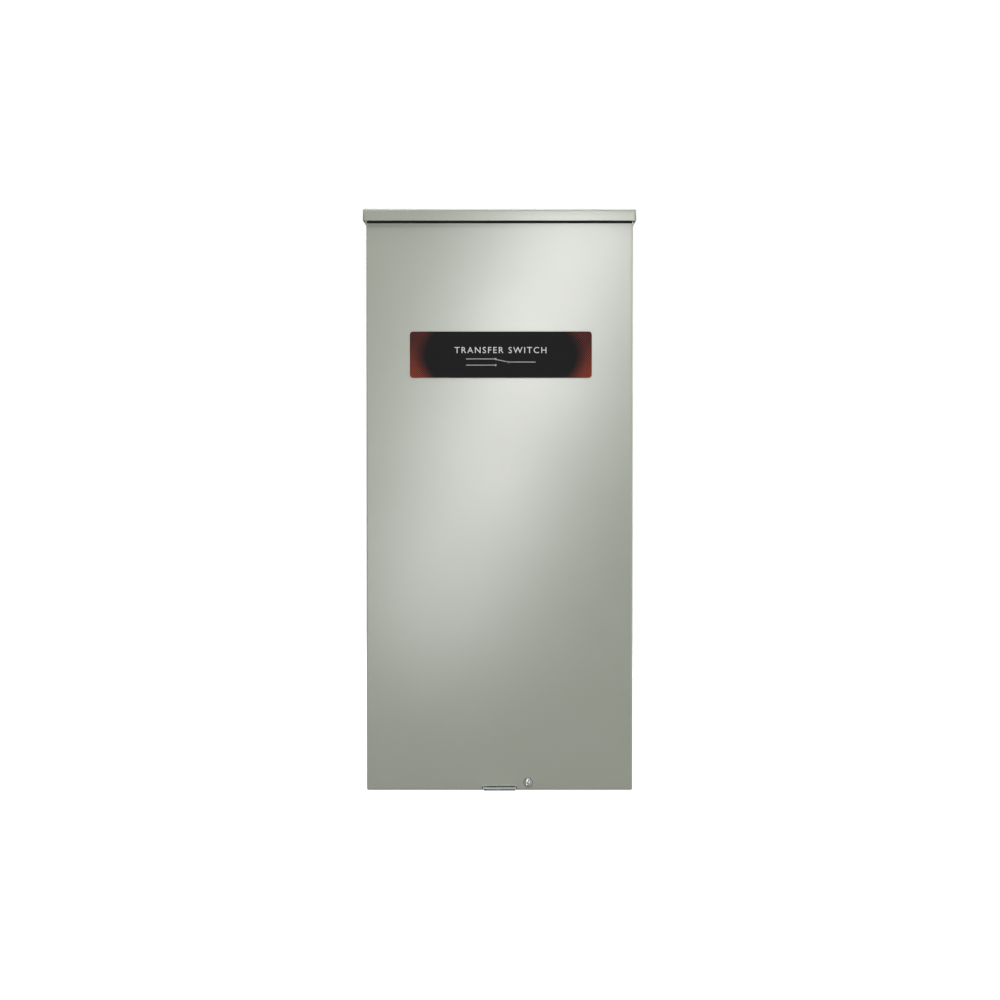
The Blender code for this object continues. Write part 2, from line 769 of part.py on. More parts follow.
def make_panel():
    back = -SHEET - FIT - PANEL_SHEET / 2
    face = PANEL_Y + PANEL_SHEET / 2
    right_half = [(PANEL_X, face), (PANEL_X, back), (PANEL_X + PANEL_FOOT, back)]
    path = [(-x, y) for x, y in reversed(right_half)] + right_half
    bent_sheet("mounting_panel", path, "XY", PANEL_Z, "galvanised", PANEL_SHEET, PANEL_BEND)


def make_line_barrier():
    half = BREAKER_WIDTH / 2 + BARRIER_OVERHANG
    top = PANEL_Z[1] - BARRIER_SHEET
    front = BREAKER_FRONT - BARRIER_AHEAD_OF_BREAKER
    back = DEVICE_BACK - BARRIER_SHEET / 2
    path = [(back, top - BARRIER_FOOT), (back, top), (front, top), (front, top - BARRIER_DROP)]
    bent_sheet(
        "line_barrier",
        path,
        "YZ",
        (POLE_CENTRE - half, POLE_CENTRE + half),
        "clear_plastic",
        BARRIER_SHEET,
        0.003,
    )


# --- Lugs ------------------------------------------------------------------------------------------------


def make_lug(name, x, back, top):
    """A box lug with an upright wire hole and a hex-socket set screw that comes in from the front."""
    wide, deep, high = LUG
    front = back - deep
    middle_y = (front + back) / 2
    middle_z = top - high / 2
    lug = block(name, (x - wide / 2, front, top - high), (x + wide / 2, back, top), "aluminium", LUG_EDGE)
    wire = block(
        name + "_wire_hole",
        (x - LUG_WIRE / 2, middle_y - LUG_WIRE / 2, top - 2 * high),
        (x + LUG_WIRE / 2, middle_y + LUG_WIRE / 2, top + high),
    )
    bore = rod(name + "_screw_hole", (x, front - deep, middle_z), (x, middle_y, middle_z), LUG_SCREW + FIT)
    cut(lug, wire, bore)
    head = front - LUG_SCREW_PROUD
    screw = rod(
        name + "_screw",
        (x, head, middle_z),
        (x, head + LUG_SCREW_LENGTH, middle_z),
        LUG_SCREW,
        "steel",
        edge=0.0006,
    )
    socket_ends = (x, head - LUG_SOCKET_DEEP, middle_z), (x, head + LUG_SOCKET_DEEP, middle_z)
    cut(screw, rod(name + "_socket", *socket_ends, LUG_SOCKET, sides=6))


# --- Service breaker -------------------------------------------------------------------------------------


def make_breaker():
    half = BREAKER_WIDTH / 2
    low_z, high_z = BREAKER_Z
    split, front = BREAKER_SPLIT, BREAKER_FRONT
    left, right = POLE_CENTRE - half, POLE_CENTRE + half
    block("breaker_base", (left, split, low_z), (right, DEVICE_BACK, high_z), "black_moulding", 0.0015)
    cover = block(
        "breaker_cover", (left, front, low_z), (right, split - FIT, high_z), "black_moulding", 0.002
    )
    swing = math.radians(TOGGLE_SWING / 2)
    reach = TOGGLE_Y - front
    room = reach * math.tan(swing) + TOGGLE_THICK / 2 / math.cos(swing) + 2 * FIT
    pocket_half = max(room, TOGGLE_HUB + 2 * FIT)
    pocket = block(
        "toggle_pocket",
        (POLE_CENTRE - TOGGLE_WIDTH / 2 - 2 * FIT, front - TOGGLE_HUB, TOGGLE_Z - pocket_half),
        (POLE_CENTRE + TOGGLE_WIDTH / 2 + 2 * FIT, split + TOGGLE_HUB, TOGGLE_Z + pocket_half),
    )
    cut(cover, pocket)
    wide, high, deep = TERMINAL_RECESS
    for x in POLES:
        for edge_z in (low_z, high_z):
            recess = block(
                "terminal_recess",
                (x - wide / 2, front - deep, edge_z - high),
                (x + wide / 2, front + deep, edge_z + high),
            )
            cut(cover, recess)
    toggle = rod(
        "breaker_toggle",
        (POLE_CENTRE - TOGGLE_WIDTH / 2, TOGGLE_Y, TOGGLE_Z),
        (POLE_CENTRE + TOGGLE_WIDTH / 2, TOGGLE_Y, TOGGLE_Z),
        TOGGLE_HUB,
        "black_moulding",
    )
    lever = block(
        "toggle_lever",
        (POLE_CENTRE - TOGGLE_WIDTH / 2, TOGGLE_Y - TOGGLE_REACH, TOGGLE_Z - TOGGLE_THICK / 2),
        (POLE_CENTRE + TOGGLE_WIDTH / 2, TOGGLE_Y, TOGGLE_Z + TOGGLE_THICK / 2),
        None,
        TOGGLE_EDGE,
    )
    join(toggle, lever)
    pivot_on(toggle, (POLE_CENTRE, TOGGLE_Y, TOGGLE_Z), -swing)
    for number, x in enumerate(POLES, 1):
        back = DEVICE_BACK - LINE_LUG_DEPTH
        make_lug(f"line_lug_{number}", x, back, high_z + FIT + LUG[2])


# --- Transfer switch -------------------------------------------------------------------------------------


def contact_point(along, above):
    """(y, z) of a point along the moving arm at rest, and above its middle plane."""
    c, s = math.cos(REST_TILT), math.sin(REST_TILT)
    return SHAFT_Y - along * c + above * s, SHAFT_Z + along * s + above * c


def mirrored(path):
    return [(y, 2 * SHAFT_Z - z) for y, z in path]


def make_switch_base():
    low_x, high_x = BASE_X
    low_z, high_z = BASE_Z
    base = block(
        "switch_base", (low_x, BASE_FRONT, low_z), (high_x, DEVICE_BACK, high_z), "brown_moulding"
    )
    walls = (low_x, POLE_CENTRE - WALL_THICK / 2, high_x - WALL_THICK)
    for number, x in enumerate(walls):
        wall = block(
            f"bearing_wall_{number}",
            (x, DEVICE_BACK - WALL_REACH, SHAFT_Z - WALL_HALF),
            (x + WALL_THICK, DEVICE_BACK - BASE_THICK / 2, SHAFT_Z + WALL_HALF),
            None,
            0.001,
        )
        join(base, wall)
    reach = LOAD_STRAP_Y + STRAP / 2 + FIT
    for number, x in enumerate(POLES):
        rib = block(
            f"strap_rib_{number}",
            (x - STRAP_WIDTH / 2, reach, low_z + 0.010),
            (x + STRAP_WIDTH / 2, DEVICE_BACK - BASE_THICK / 2, high_z - 0.004),
        )
        join(base, rib)
    bore_ends = (low_x - WALL_THICK, SHAFT_Y, SHAFT_Z), (high_x + WALL_THICK, SHAFT_Y, SHAFT_Z)
    cut(base, rod("bearing_bore", *bore_ends, SHAFT_RADIUS + FIT))


def make_moving_contacts():
    left, right = CRANK_PLATE
    shaft_end = BASE_X[1] + SHAFT_PAST_BASE
    shaft = rod("drive_shaft", (left, SHAFT_Y, SHAFT_Z), (shaft_end, SHAFT_Y, SHAFT_Z), SHAFT_RADIUS, "steel")
    crank_hub = rod("crank_hub", (left, SHAFT_Y, SHAFT_Z), (right, SHAFT_Y, SHAFT_Z), CRANK_HUB)
    pin_y = SHAFT_Y - CRANK_RADIUS
    crank_web = block(
        "crank_web",
        (left, pin_y - CRANK_WEB_HALF, SHAFT_Z - CRANK_WEB_HALF),
        (right, SHAFT_Y, SHAFT_Z + CRANK_WEB_HALF),
        None,
        0.001,
    )
    pin = rod("crank_pin", (CRANK_PIN_LEFT, pin_y, SHAFT_Z), (right - 0.001, pin_y, SHAFT_Z), CRANK_PIN)
    join(shaft, crank_hub, crank_web, pin)
    pivot_on(shaft, (POLE_CENTRE, SHAFT_Y, SHAFT_Z), -REST_TILT)
    for number, x in enumerate(POLES, 1):
        low_x, high_x = x - ARM_WIDTH / 2, x + ARM_WIDTH / 2
        hub_ends = (low_x, SHAFT_Y, SHAFT_Z), (high_x, SHAFT_Y, SHAFT_Z)
        arm = rod(f"moving_contact_{number}", *hub_ends, ARM_HUB, "copper")
        blade = block(
            f"contact_blade_{number}",
            (low_x, SHAFT_Y - ARM_REACH, SHAFT_Z - ARM_THICK / 2),
            (high_x, SHAFT_Y, SHAFT_Z + ARM_THICK / 2),
            None,
            0.0008,
        )
        bore = rod(
            f"contact_bore_{number}",
            (low_x - ARM_WIDTH, SHAFT_Y, SHAFT_Z),
            (high_x + ARM_WIDTH, SHAFT_Y, SHAFT_Z),
            SHAFT_RADIUS + FIT,
        )
        join(arm, blade)
        cut(arm, bore)
        pivot_on(arm, (POLE_CENTRE, SHAFT_Y, SHAFT_Z), -REST_TILT)
    make_manual_handle()


def make_manual_handle():
    low_x = BASE_X[1] + HANDLE_GAP
    high_x = low_x + HANDLE_THICK
    hub_ends = (low_x, SHAFT_Y, SHAFT_Z), (high_x, SHAFT_Y, SHAFT_Z)
    handle = rod("manual_handle", *hub_ends, HANDLE_HUB, "red_plastic")
    bar = block(
        "handle_bar",
        (low_x, SHAFT_Y - HANDLE_REACH, SHAFT_Z - HANDLE_HALF),
        (high_x, SHAFT_Y, SHAFT_Z + HANDLE_HALF),
        None,
        0.001,
    )
    tip = SHAFT_Y - HANDLE_REACH + HANDLE_GRIP
    grip = rod("handle_grip", (low_x, tip, SHAFT_Z), (high_x + HANDLE_PEG, tip, SHAFT_Z), HANDLE_GRIP)
    bore = rod(
        "handle_bore",
        (low_x - HANDLE_THICK, SHAFT_Y, SHAFT_Z),
        (high_x + HANDLE_THICK, SHAFT_Y, SHAFT_Z),
        SHAFT_RADIUS + FIT,
    )
    join(handle, bar, grip)
    cut(handle, bore)
    pivot_on(handle, (POLE_CENTRE, SHAFT_Y, SHAFT_Z), -REST_TILT)


def make_buses():
    above = ARM_THICK / 2 + FIT + STRAP / 2
    tip = contact_point(ARM_REACH + FINGER_BEYOND_ARM, above)
    inner = contact_point(ARM_REACH + FINGER_BEYOND_ARM - FINGER_LENGTH, above)
    shelf = SHAFT_Z + FINGER_RISE
    for number, x in enumerate(POLES, 1):
        span = (x - STRAP_WIDTH / 2, x + STRAP_WIDTH / 2)
        upper = [(LINE_STRAP_Y, BREAKER_Z[0] - FIT), (LINE_STRAP_Y, shelf), (tip[0], shelf), tip, inner]
        bent_sheet(f"utility_bus_{number}", upper, "YZ", span, "copper", STRAP, 0.003)
        lower = mirrored(upper[1:])
        lower.insert(0, (LINE_STRAP_Y, GENERATOR_LUG_TOP - LUG[2]))
        bent_sheet(f"generator_bus_{number}", lower, "YZ", span, "copper", STRAP, 0.003)
        load_z = (LOAD_LUG_TOP - LUG[2], SHAFT_Z + LOAD_STRAP_ABOVE_SHAFT)
        block(
            f"load_bus_{number}",
            (span[0], LOAD_STRAP_Y - STRAP / 2, load_z[0]),
            (span[1], LOAD_STRAP_Y + STRAP / 2, load_z[1]),
            "copper",
            0.0005,
        )
        make_lug(f"generator_lug_{number}", x, LINE_STRAP_Y - STRAP / 2 - FIT, GENERATOR_LUG_TOP)
        make_lug(f"load_lug_{number}", x, LOAD_STRAP_Y - STRAP / 2 - FIT, LOAD_LUG_TOP)


# --- Solenoid drive --------------------------------------------------------------------------------------


def make_coil(name, low_z):
    high_z = low_z + COIL_LENGTH
    bore = PLUNGER_RADIUS + 2 * FIT
    flange = COIL_FLANGE_THICK
    profile = [
        (bore, high_z),
        (COIL_FLANGE, high_z),
        (COIL_FLANGE, high_z - flange),
        (COIL_RADIUS, high_z - flange),
        (COIL_RADIUS, low_z + flange),
        (COIL_FLANGE, low_z + flange),
        (COIL_FLANGE, low_z),
        (bore, low_z),
        (bore, high_z),
    ]
    turned(name, profile, (PLUNGER_X, PLUNGER_Y, 0), (0, 0, 1), "winding", steps=28)


def make_solenoid():
    make_coil("utility_coil", SHAFT_Z + COIL_START)
    make_coil("generator_coil", SHAFT_Z - COIL_START - COIL_LENGTH)
    back = DEVICE_BACK - FRAME_SHEET / 2
    front = PLUNGER_Y - COIL_FLANGE - 0.002
    top, low = SHAFT_Z + FRAME_HALF, SHAFT_Z - FRAME_HALF
    path = [(front, top), (back, top), (back, low), (front, low)]
    frame = bent_sheet("solenoid_frame", path, "YZ", FRAME_X, "galvanised", FRAME_SHEET, 0.0025)
    side = FRAME_X[0] - LIMIT_SWITCH[0] - 3 * FIT - FRAME_SHEET
    plate = block(
        "limit_switch_plate",
        (side, PLUNGER_Y - LIMIT_SWITCH[1] / 2, SHAFT_Z - SWITCH_PLATE_HALF),
        (side + FRAME_SHEET, DEVICE_BACK, SHAFT_Z + SWITCH_PLATE_HALF),
    )
    foot = block(
        "limit_switch_foot",
        (side, DEVICE_BACK - FRAME_SHEET, SHAFT_Z - SWITCH_PLATE_HALF),
        (FRAME_X[0] + 0.004, DEVICE_BACK, SHAFT_Z + SWITCH_PLATE_HALF),
    )
    anchor_y = SHAFT_Y + ANCHOR_BEHIND_SHAFT
    bracket_x = (SPRING_X + SPRING_POST, SPRING_X + SPRING_POST + FRAME_SHEET)
    post_x = (bracket_x[0] + FRAME_SHEET / 2, SPRING_X - FRAME_SHEET)
    post = rod("spring_post", *[(x, anchor_y, SHAFT_Z) for x in post_x], SPRING_POST)
    bracket = block(
        "spring_post_bracket",
        (bracket_x[0], anchor_y - SPRING_POST - 0.001, SHAFT_Z - SPRING_BRACKET_HALF),
        (bracket_x[1], DEVICE_BACK - FRAME_SHEET / 2, SHAFT_Z + SPRING_BRACKET_HALF),
    )
    join(frame, plate, foot, bracket, post)
    make_plunger()
    make_limit_switches(side + FRAME_SHEET + FIT)
    make_spring(anchor_y)


def make_plunger():
    wide, deep, high = YOKE
    gap = THROW_TRAVEL + FIT
    low_end = SHAFT_Z - FRAME_HALF + FRAME_SHEET / 2 + gap + FIT
    high_end = SHAFT_Z + FRAME_HALF - FRAME_SHEET / 2 - 2 * FIT
    rod_ends = (PLUNGER_X, PLUNGER_Y, low_end), (PLUNGER_X, PLUNGER_Y, high_end)
    plunger = rod("plunger", *rod_ends, PLUNGER_RADIUS, "steel", sides=20)
    yoke = block(
        "plunger_yoke",
        (PLUNGER_X - wide / 2, PLUNGER_Y - deep / 2, PIN_Z - high / 2),
        (PLUNGER_X + wide / 2, PLUNGER_Y + deep / 2, PIN_Z + high / 2),
        None,
        0.0008,
    )
    striker = block(
        "limit_striker",
        (FRAME_X[0] - LIMIT_SWITCH[0] - FIT, STRIKER_Y - STRIKER_DEEP / 2, PIN_Z - STRIKER_THICK / 2),
        (PLUNGER_X, STRIKER_Y + STRIKER_DEEP / 2, PIN_Z + STRIKER_THICK / 2),
    )
    pin_sweep = CRANK_RADIUS * (1 - math.cos(REST_TILT)) / 2
    room = CRANK_PIN + YOKE_SLOT_PLAY
    slot = block(
        "yoke_slot",
        (PLUNGER_X - wide, PLUNGER_Y - room - pin_sweep, PIN_Z - room),
        (PLUNGER_X + wide, PLUNGER_Y + room + pin_sweep, PIN_Z + room),
    )
    join(plunger, yoke, striker)
    cut(plunger, slot)


def make_limit_switches(left):
    """Two snap switches, each with a sprung button that the striker meets at one end of its travel."""
    wide, deep, high = LIMIT_SWITCH
    middle_x = left + wide / 2
    for name, contact_z, way in (
        ("utility_limit", PIN_Z + STRIKER_THICK / 2, 1),
        ("generator_limit", PIN_Z - STRIKER_THICK / 2 - THROW_TRAVEL, -1),
    ):
        button_tip = contact_z + way * 2 * FIT
        face = button_tip + way * (BUTTON_TRAVEL + FIT)
        ends = sorted((face, face + way * high))
        body = block(
            name + "_switch",
            (left, PLUNGER_Y - deep / 2, ends[0]),
            (left + wide, PLUNGER_Y + deep / 2, ends[1]),
            "black_moulding",
            0.0008,
        )
        inner_end = button_tip + way * BUTTON_LENGTH
        hole_end = inner_end + way * (BUTTON_TRAVEL + FIT)
        hole = rod(
            name + "_button_hole",
            (middle_x, STRIKER_Y, button_tip),
            (middle_x, STRIKER_Y, hole_end),
            BUTTON_RADIUS + FIT,
            sides=12,
        )
        cut(body, hole)
        rod(
            name + "_button",
            (middle_x, STRIKER_Y, button_tip),
            (middle_x, STRIKER_Y, inner_end),
            BUTTON_RADIUS,
            "red_plastic",
            sides=12,
        )


def make_spring(anchor_y):
    """A tension spring with a loop round the crank pin and a loop round the post behind the shaft."""
    pin = Vector((SPRING_X, SHAFT_Y - CRANK_RADIUS * math.cos(REST_TILT), PIN_Z))
    post = Vector((SPRING_X, anchor_y, SHAFT_Z))
    along = (pin - post).normalized()
    aside = Vector((1, 0, 0))
    upright = along.cross(aside)
    loop = CRANK_PIN + SPRING_WIRE + 0.0004
    start, end = loop + 0.005, (pin - post).length - loop - 0.005
    points = []
    for step in range(9):
        angle = math.pi / 6 + (5 * math.pi / 3) * step / 8
        points.append(post - along * loop * math.cos(angle) * -1 - upright * loop * math.sin(angle))
    points.reverse()
    count = SPRING_TURNS * SPRING_STEPS
    for step in range(count + 1):
        angle = 2 * math.pi * step / SPRING_STEPS
        reach = start + (end - start) * step / count
        ring = aside * math.cos(angle) + upright * math.sin(angle)
        points.append(post + along * reach + ring * SPRING_RADIUS)
    for step in range(9):
        angle = math.pi / 6 + (5 * math.pi / 3) * step / 8
        points.append(pin - along * loop * math.cos(angle) - upright * loop * math.sin(angle) * -1)
    tube("overcentre_spring", points, SPRING_WIRE, "steel", resolution=1)


# --- Controls --------------------------------------------------------------------------------------------


def make_board():
    low_x, high_x = BOARD_X
    low_z, high_z = BOARD_TOP - BOARD_HEIGHT, BOARD_TOP
    back = DEVICE_BACK - BOARD_STAND
    board = block(
        "load_management_board", (low_x, back - BOARD_THICK, low_z), (high_x, back, high_z), "board_green"
    )
    inset = BOARD_POST_INSET
    for x in (low_x + inset, high_x - inset):
        for z in (low_z + inset, high_z - inset):
            ends = (x, DEVICE_BACK, z), (x, back - BOARD_POST_SUNK, z)
            join(board, rod("board_post", *ends, BOARD_POST, sides=12))
    wide, deep, high = BOARD_RELAY
    for number in range(4):
        x = (low_x + high_x) / 2 + BOARD_RELAY_PITCH * (number - 1.5)
        low = (x - wide / 2, back - BOARD_THICK - deep, low_z + BOARD_RELAY_UP)
        top = (x + wide / 2, back - BOARD_THICK / 2, low_z + BOARD_RELAY_UP + high)
        join(board, block("board_relay", low, top))


def make_relay():
    (low_x, high_x), (low_z, high_z) = RELAY_X, RELAY_Z
    middle_x = (low_x + high_x) / 2
    middle_z = (low_z + high_z) / 2
    base_front = DEVICE_BACK - RELAY_BASE
    foot_x, foot_z = RELAY_FOOT
    base = block(
        "relay_base",
        (low_x - foot_x, base_front, low_z - foot_z),
        (high_x + foot_x, DEVICE_BACK, high_z + foot_z),
        "black_moulding",
        0.001,
    )
    core_front = base_front - RELAY_CORE
    inside_base = base_front + 0.002
    coil_ends = (middle_x, inside_base, middle_z), (middle_x, core_front, middle_z)
    coil = rod("relay_coil", *coil_ends, RELAY_COIL)
    post = block(
        "relay_post",
        (middle_x - ARMATURE_HALF, core_front - 0.001, high_z - 0.006),
        (middle_x + ARMATURE_HALF, inside_base, high_z - 0.004),
    )
    join(base, coil, post)
    armature_back = core_front - RELAY_AIR_GAP
    armature = block(
        "relay_armature",
        (middle_x - ARMATURE_HALF, armature_back - ARMATURE_THICK, low_z + 0.006),
        (middle_x + ARMATURE_HALF, armature_back, high_z - 0.004),
        "steel",
    )
    pivot_on(armature, (middle_x, armature_back, high_z - 0.005))
    pan(
        "relay_cover",
        (low_x, base_front - FIT - RELAY_COVER, low_z),
        (high_x, base_front - FIT, high_z),
        ("+Y",),
        "clear_plastic",
        RELAY_WALL,
        0.0018,
    )


def make_fuses():
    half = 1.5 * FUSE_PITCH
    end = FUSE_LENGTH / 2
    back = DEVICE_BACK
    floor = back - FUSE_FLOOR
    holder = block(
        "fuse_block",
        (FUSE_X - half, floor, FUSE_Z - end - FUSE_STOP),
        (FUSE_X + half, back, FUSE_Z + end + FUSE_STOP),
        "black_moulding",
        0.001,
    )
    fuse_y = floor - FUSE_RADIUS - FIT
    for number in range(3):
        x = FUSE_X + (number - 1) * FUSE_PITCH
        rod(
            f"fuse_{number + 1}",
            (x, fuse_y, FUSE_Z - end),
            (x, fuse_y, FUSE_Z + end),
            FUSE_RADIUS,
            "fuse_body",
            sides=20,
            edge=0.0005,
        )
    for way in (-1, 1):
        ends = sorted((FUSE_Z + way * (end + FIT), FUSE_Z + way * (end + FUSE_STOP)))
        stop = block(
            f"fuse_stop_{way + 1}",
            (FUSE_X - half, floor - FUSE_STOP_RISE, ends[0]),
            (FUSE_X + half, (floor + back) / 2, ends[1]),
        )
        join(holder, stop)


def make_terminal_strip():
    (low_x, high_x), (low_z, high_z) = STRIP_X, STRIP_Z
    strip = block(
        "terminal_strip",
        (low_x, DEVICE_BACK - STRIP_DEEP, low_z),
        (high_x, DEVICE_BACK, high_z),
        "black_moulding",
    )
    thick, reach = STRIP_FIN
    pitch = (high_x - low_x - thick) / STRIP_WAYS
    for number in range(STRIP_WAYS + 1):
        left = low_x + pitch * number
        fin = block(
            f"strip_fin_{number}",
            (left, DEVICE_BACK - reach, low_z + 0.002),
            (left + thick, DEVICE_BACK - STRIP_DEEP / 2, high_z - 0.002),
        )
        join(strip, fin)


def make_grounding():
    low_x, high_x = NEUTRAL_X
    low_z, high_z = NEUTRAL_Z
    stand_front = DEVICE_BACK - NEUTRAL_STAND
    bar_back = stand_front - FIT
    bar_front = bar_back - NEUTRAL_DEEP
    block(
        "neutral_insulator",
        (low_x - INSULATOR_MARGIN[0], stand_front, low_z - INSULATOR_MARGIN[1]),
        (high_x + INSULATOR_MARGIN[0], DEVICE_BACK, high_z + INSULATOR_MARGIN[1]),
        "white_moulding",
        0.001,
    )
    bar = block("neutral_bar", (low_x, bar_front, low_z), (high_x, bar_back, high_z), "aluminium", 0.001)
    middle_y = (bar_front + bar_back) / 2
    for down in NEUTRAL_WIRES_DOWN:
        z = high_z - down
        hole = block(
            "neutral_wire",
            (low_x - NEUTRAL_WIRE, middle_y - NEUTRAL_WIRE / 2, z - NEUTRAL_WIRE / 2),
            (high_x + NEUTRAL_WIRE, middle_y + NEUTRAL_WIRE / 2, z + NEUTRAL_WIRE / 2),
        )
        cut(bar, hole)
    ground_front = DEVICE_BACK - GROUND_DEEP
    block(
        "ground_bar",
        (GROUND_X[0], ground_front, GROUND_Z[0]),
        (GROUND_X[1], DEVICE_BACK, GROUND_Z[1]),
        "aluminium",
        0.0008,
    )
    high_y = bar_front - FIT - JUMPER_THICK / 2
    low_y = ground_front - FIT - JUMPER_THICK / 2
    step_x = (high_x + GROUND_X[0]) / 2 + 0.006
    path = [(low_x + 0.004, high_y), (step_x, high_y), (step_x, low_y), (GROUND_X[1] - 0.002, low_y)]
    start = low_z + JUMPER_UP
    bent_sheet(
        "bonding_jumper", path, "XY", (start, start + JUMPER_WIDTH), "copper", JUMPER_THICK, 0.002
    )


def smooth_route(stops, steps=5):
    """Points on a smooth curve through the stops of a wire's route."""
    stops = [Vector(stop) for stop in stops]
    ends = [stops[0] * 2 - stops[1]] + stops + [stops[-1] * 2 - stops[-2]]
    points = []
    for a, b, c, d in zip(ends, ends[1:], ends[2:], ends[3:]):
        for step in range(steps):
            t = step / steps
            rise = (c - a) * t
            curve = (2 * a - 5 * b + 4 * c - d) * t**2 + (3 * b - a - 3 * c + d) * t**3
            points.append(b + (rise + curve) / 2)
    return points + [stops[-1]]


def make_harness():
    """The bundle of control wires from the terminal strip to the solenoid frame."""
    strip_x = (STRIP_X[0] + STRIP_X[1]) / 2
    start_z = STRIP_Z[0] - FIT
    depth = DEVICE_BACK - 0.0045
    stops = [
        (strip_x, depth, start_z),
        (strip_x, depth, start_z - 0.014),
        (strip_x + 0.004, depth, start_z - 0.034),
        (strip_x + 0.016, depth, start_z - 0.048),
        (strip_x + 0.030, depth, start_z - 0.052),
        (FRAME_X[0] - LIMIT_SWITCH[0] - 0.0035, depth, start_z - 0.052),
    ]
    tube("control_harness", smooth_route(stops), HARNESS_RADIUS, "wire_blue")


make_shell()
make_hood()
make_bottom_endwall()
make_hasp()
make_screw_receiver()
make_cover()
make_label()
make_cover_screw()
make_panel()
make_line_barrier()
make_breaker()
make_switch_base()
make_moving_contacts()
make_buses()
make_solenoid()
make_board()
make_relay()
make_fuses()
make_terminal_strip()
make_grounding()
make_harness()
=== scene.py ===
# %% [markdown]
# # An outdoor automatic transfer switch
# This lesson dresses a working model of a transfer switch: the grey-green box on the outside wall of a house
# that hands its circuits over from the utility to a generator. The frame that is loaded here already holds
# every piece at its right size, and it swings, turns and slides. What is left for Blender is the surface:
# powder coat, zinc, copper, moulded plastic, print, wires and the many small fixings.

# %% Load the frame
import json
import math

import bmesh
import bpy
from mathutils import Matrix, Vector


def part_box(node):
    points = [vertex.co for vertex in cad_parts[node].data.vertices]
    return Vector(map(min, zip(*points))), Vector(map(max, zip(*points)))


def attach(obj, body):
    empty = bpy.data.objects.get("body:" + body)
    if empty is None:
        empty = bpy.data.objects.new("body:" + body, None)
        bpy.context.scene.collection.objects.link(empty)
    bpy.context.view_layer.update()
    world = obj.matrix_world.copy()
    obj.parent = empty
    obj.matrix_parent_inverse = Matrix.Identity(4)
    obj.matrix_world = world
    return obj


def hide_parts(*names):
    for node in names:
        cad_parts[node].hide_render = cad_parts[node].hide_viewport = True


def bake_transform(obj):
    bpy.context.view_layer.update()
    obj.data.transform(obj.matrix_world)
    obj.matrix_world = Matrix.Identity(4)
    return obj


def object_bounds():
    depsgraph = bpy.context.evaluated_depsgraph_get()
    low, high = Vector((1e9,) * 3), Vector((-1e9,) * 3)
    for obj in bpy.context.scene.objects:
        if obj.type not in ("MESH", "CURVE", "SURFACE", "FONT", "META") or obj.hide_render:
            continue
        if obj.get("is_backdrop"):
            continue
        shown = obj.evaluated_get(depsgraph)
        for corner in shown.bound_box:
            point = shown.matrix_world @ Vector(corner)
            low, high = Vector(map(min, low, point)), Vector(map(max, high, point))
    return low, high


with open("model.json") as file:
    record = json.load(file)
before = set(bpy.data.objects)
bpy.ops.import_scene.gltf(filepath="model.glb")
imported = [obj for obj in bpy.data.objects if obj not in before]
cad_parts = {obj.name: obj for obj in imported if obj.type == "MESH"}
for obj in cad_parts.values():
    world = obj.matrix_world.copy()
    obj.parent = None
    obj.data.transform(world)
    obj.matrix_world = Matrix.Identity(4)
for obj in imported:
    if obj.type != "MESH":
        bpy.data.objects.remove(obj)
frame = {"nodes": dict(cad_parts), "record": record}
cad_low, cad_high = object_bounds()
print("box in mm:", [round(1000 * side) for side in cad_high - cad_low])

# %% [markdown]
# ## The camera
# A product picture of a box on a wall is taken from a few metres away with a long lens, so that its sides
# hardly converge. The camera stands a little above the middle and looks down by a degree or so.

# %% Camera
COVER_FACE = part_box("cover")[0].y
CAMERA_DISTANCE = 3.0
CAMERA_PITCH = math.radians(1.3)
CAMERA_SHIFT = 0.0005
FIELD_WIDTH = 1.2985


def add_object(name, data):
    thing = bpy.data.objects.new(name, data)
    bpy.context.scene.collection.objects.link(thing)
    return thing


camera_data = bpy.data.cameras.new("camera")
camera_data.sensor_width = 36.0
camera_data.lens = camera_data.sensor_width * CAMERA_DISTANCE / FIELD_WIDTH
camera_data.clip_start = 0.05
camera_data.clip_end = 60.0
camera = add_object("camera", camera_data)
camera_height = CAMERA_DISTANCE * math.tan(CAMERA_PITCH) + CAMERA_SHIFT
camera.location = (CAMERA_SHIFT, COVER_FACE - CAMERA_DISTANCE, camera_height)
camera.rotation_euler = (math.pi / 2 - CAMERA_PITCH, 0, 0)
bpy.context.scene.camera = camera
bpy.context.scene.view_settings.view_transform = "Standard"
print("lens in mm:", round(camera_data.lens, 1))

# %% [markdown]
# ## Floor, backdrop and light
# The studio is a pale floor and an even white surround. The surround looks pure white to the camera, but it
# lights the piece more softly than that, as a far backdrop does: a Light Path node tells the two apart.
# Satin paint shows its light sources, so most of the work is in their places. A row of soft boxes hangs on a
# slanting line, where the camera sees their reflection run down the cover, and each is dimmer than the one
# above it. Wide boxes overhead and beside the camera fill in the rest.

# %% Studio
FLOOR_Z = cad_low.z - 0.06
FLOOR_GREY = (0.25, 0.25, 0.25, 1)
FLOOR_GLOW = 0.05
BACKDROP_WHITE = 1.02
SURROUND_LIGHT = 0.08


def backdrop_look(tree, strength):
    """White as the camera sees it, and a dimmer white as a light source."""
    path = tree.nodes.new("ShaderNodeLightPath")
    level = tree.nodes.new("ShaderNodeMapRange")
    level.inputs["To Min"].default_value = strength
    level.inputs["To Max"].default_value = BACKDROP_WHITE
    tree.links.new(path.outputs["Is Camera Ray"], level.inputs["Value"])
    return level.outputs["Result"]


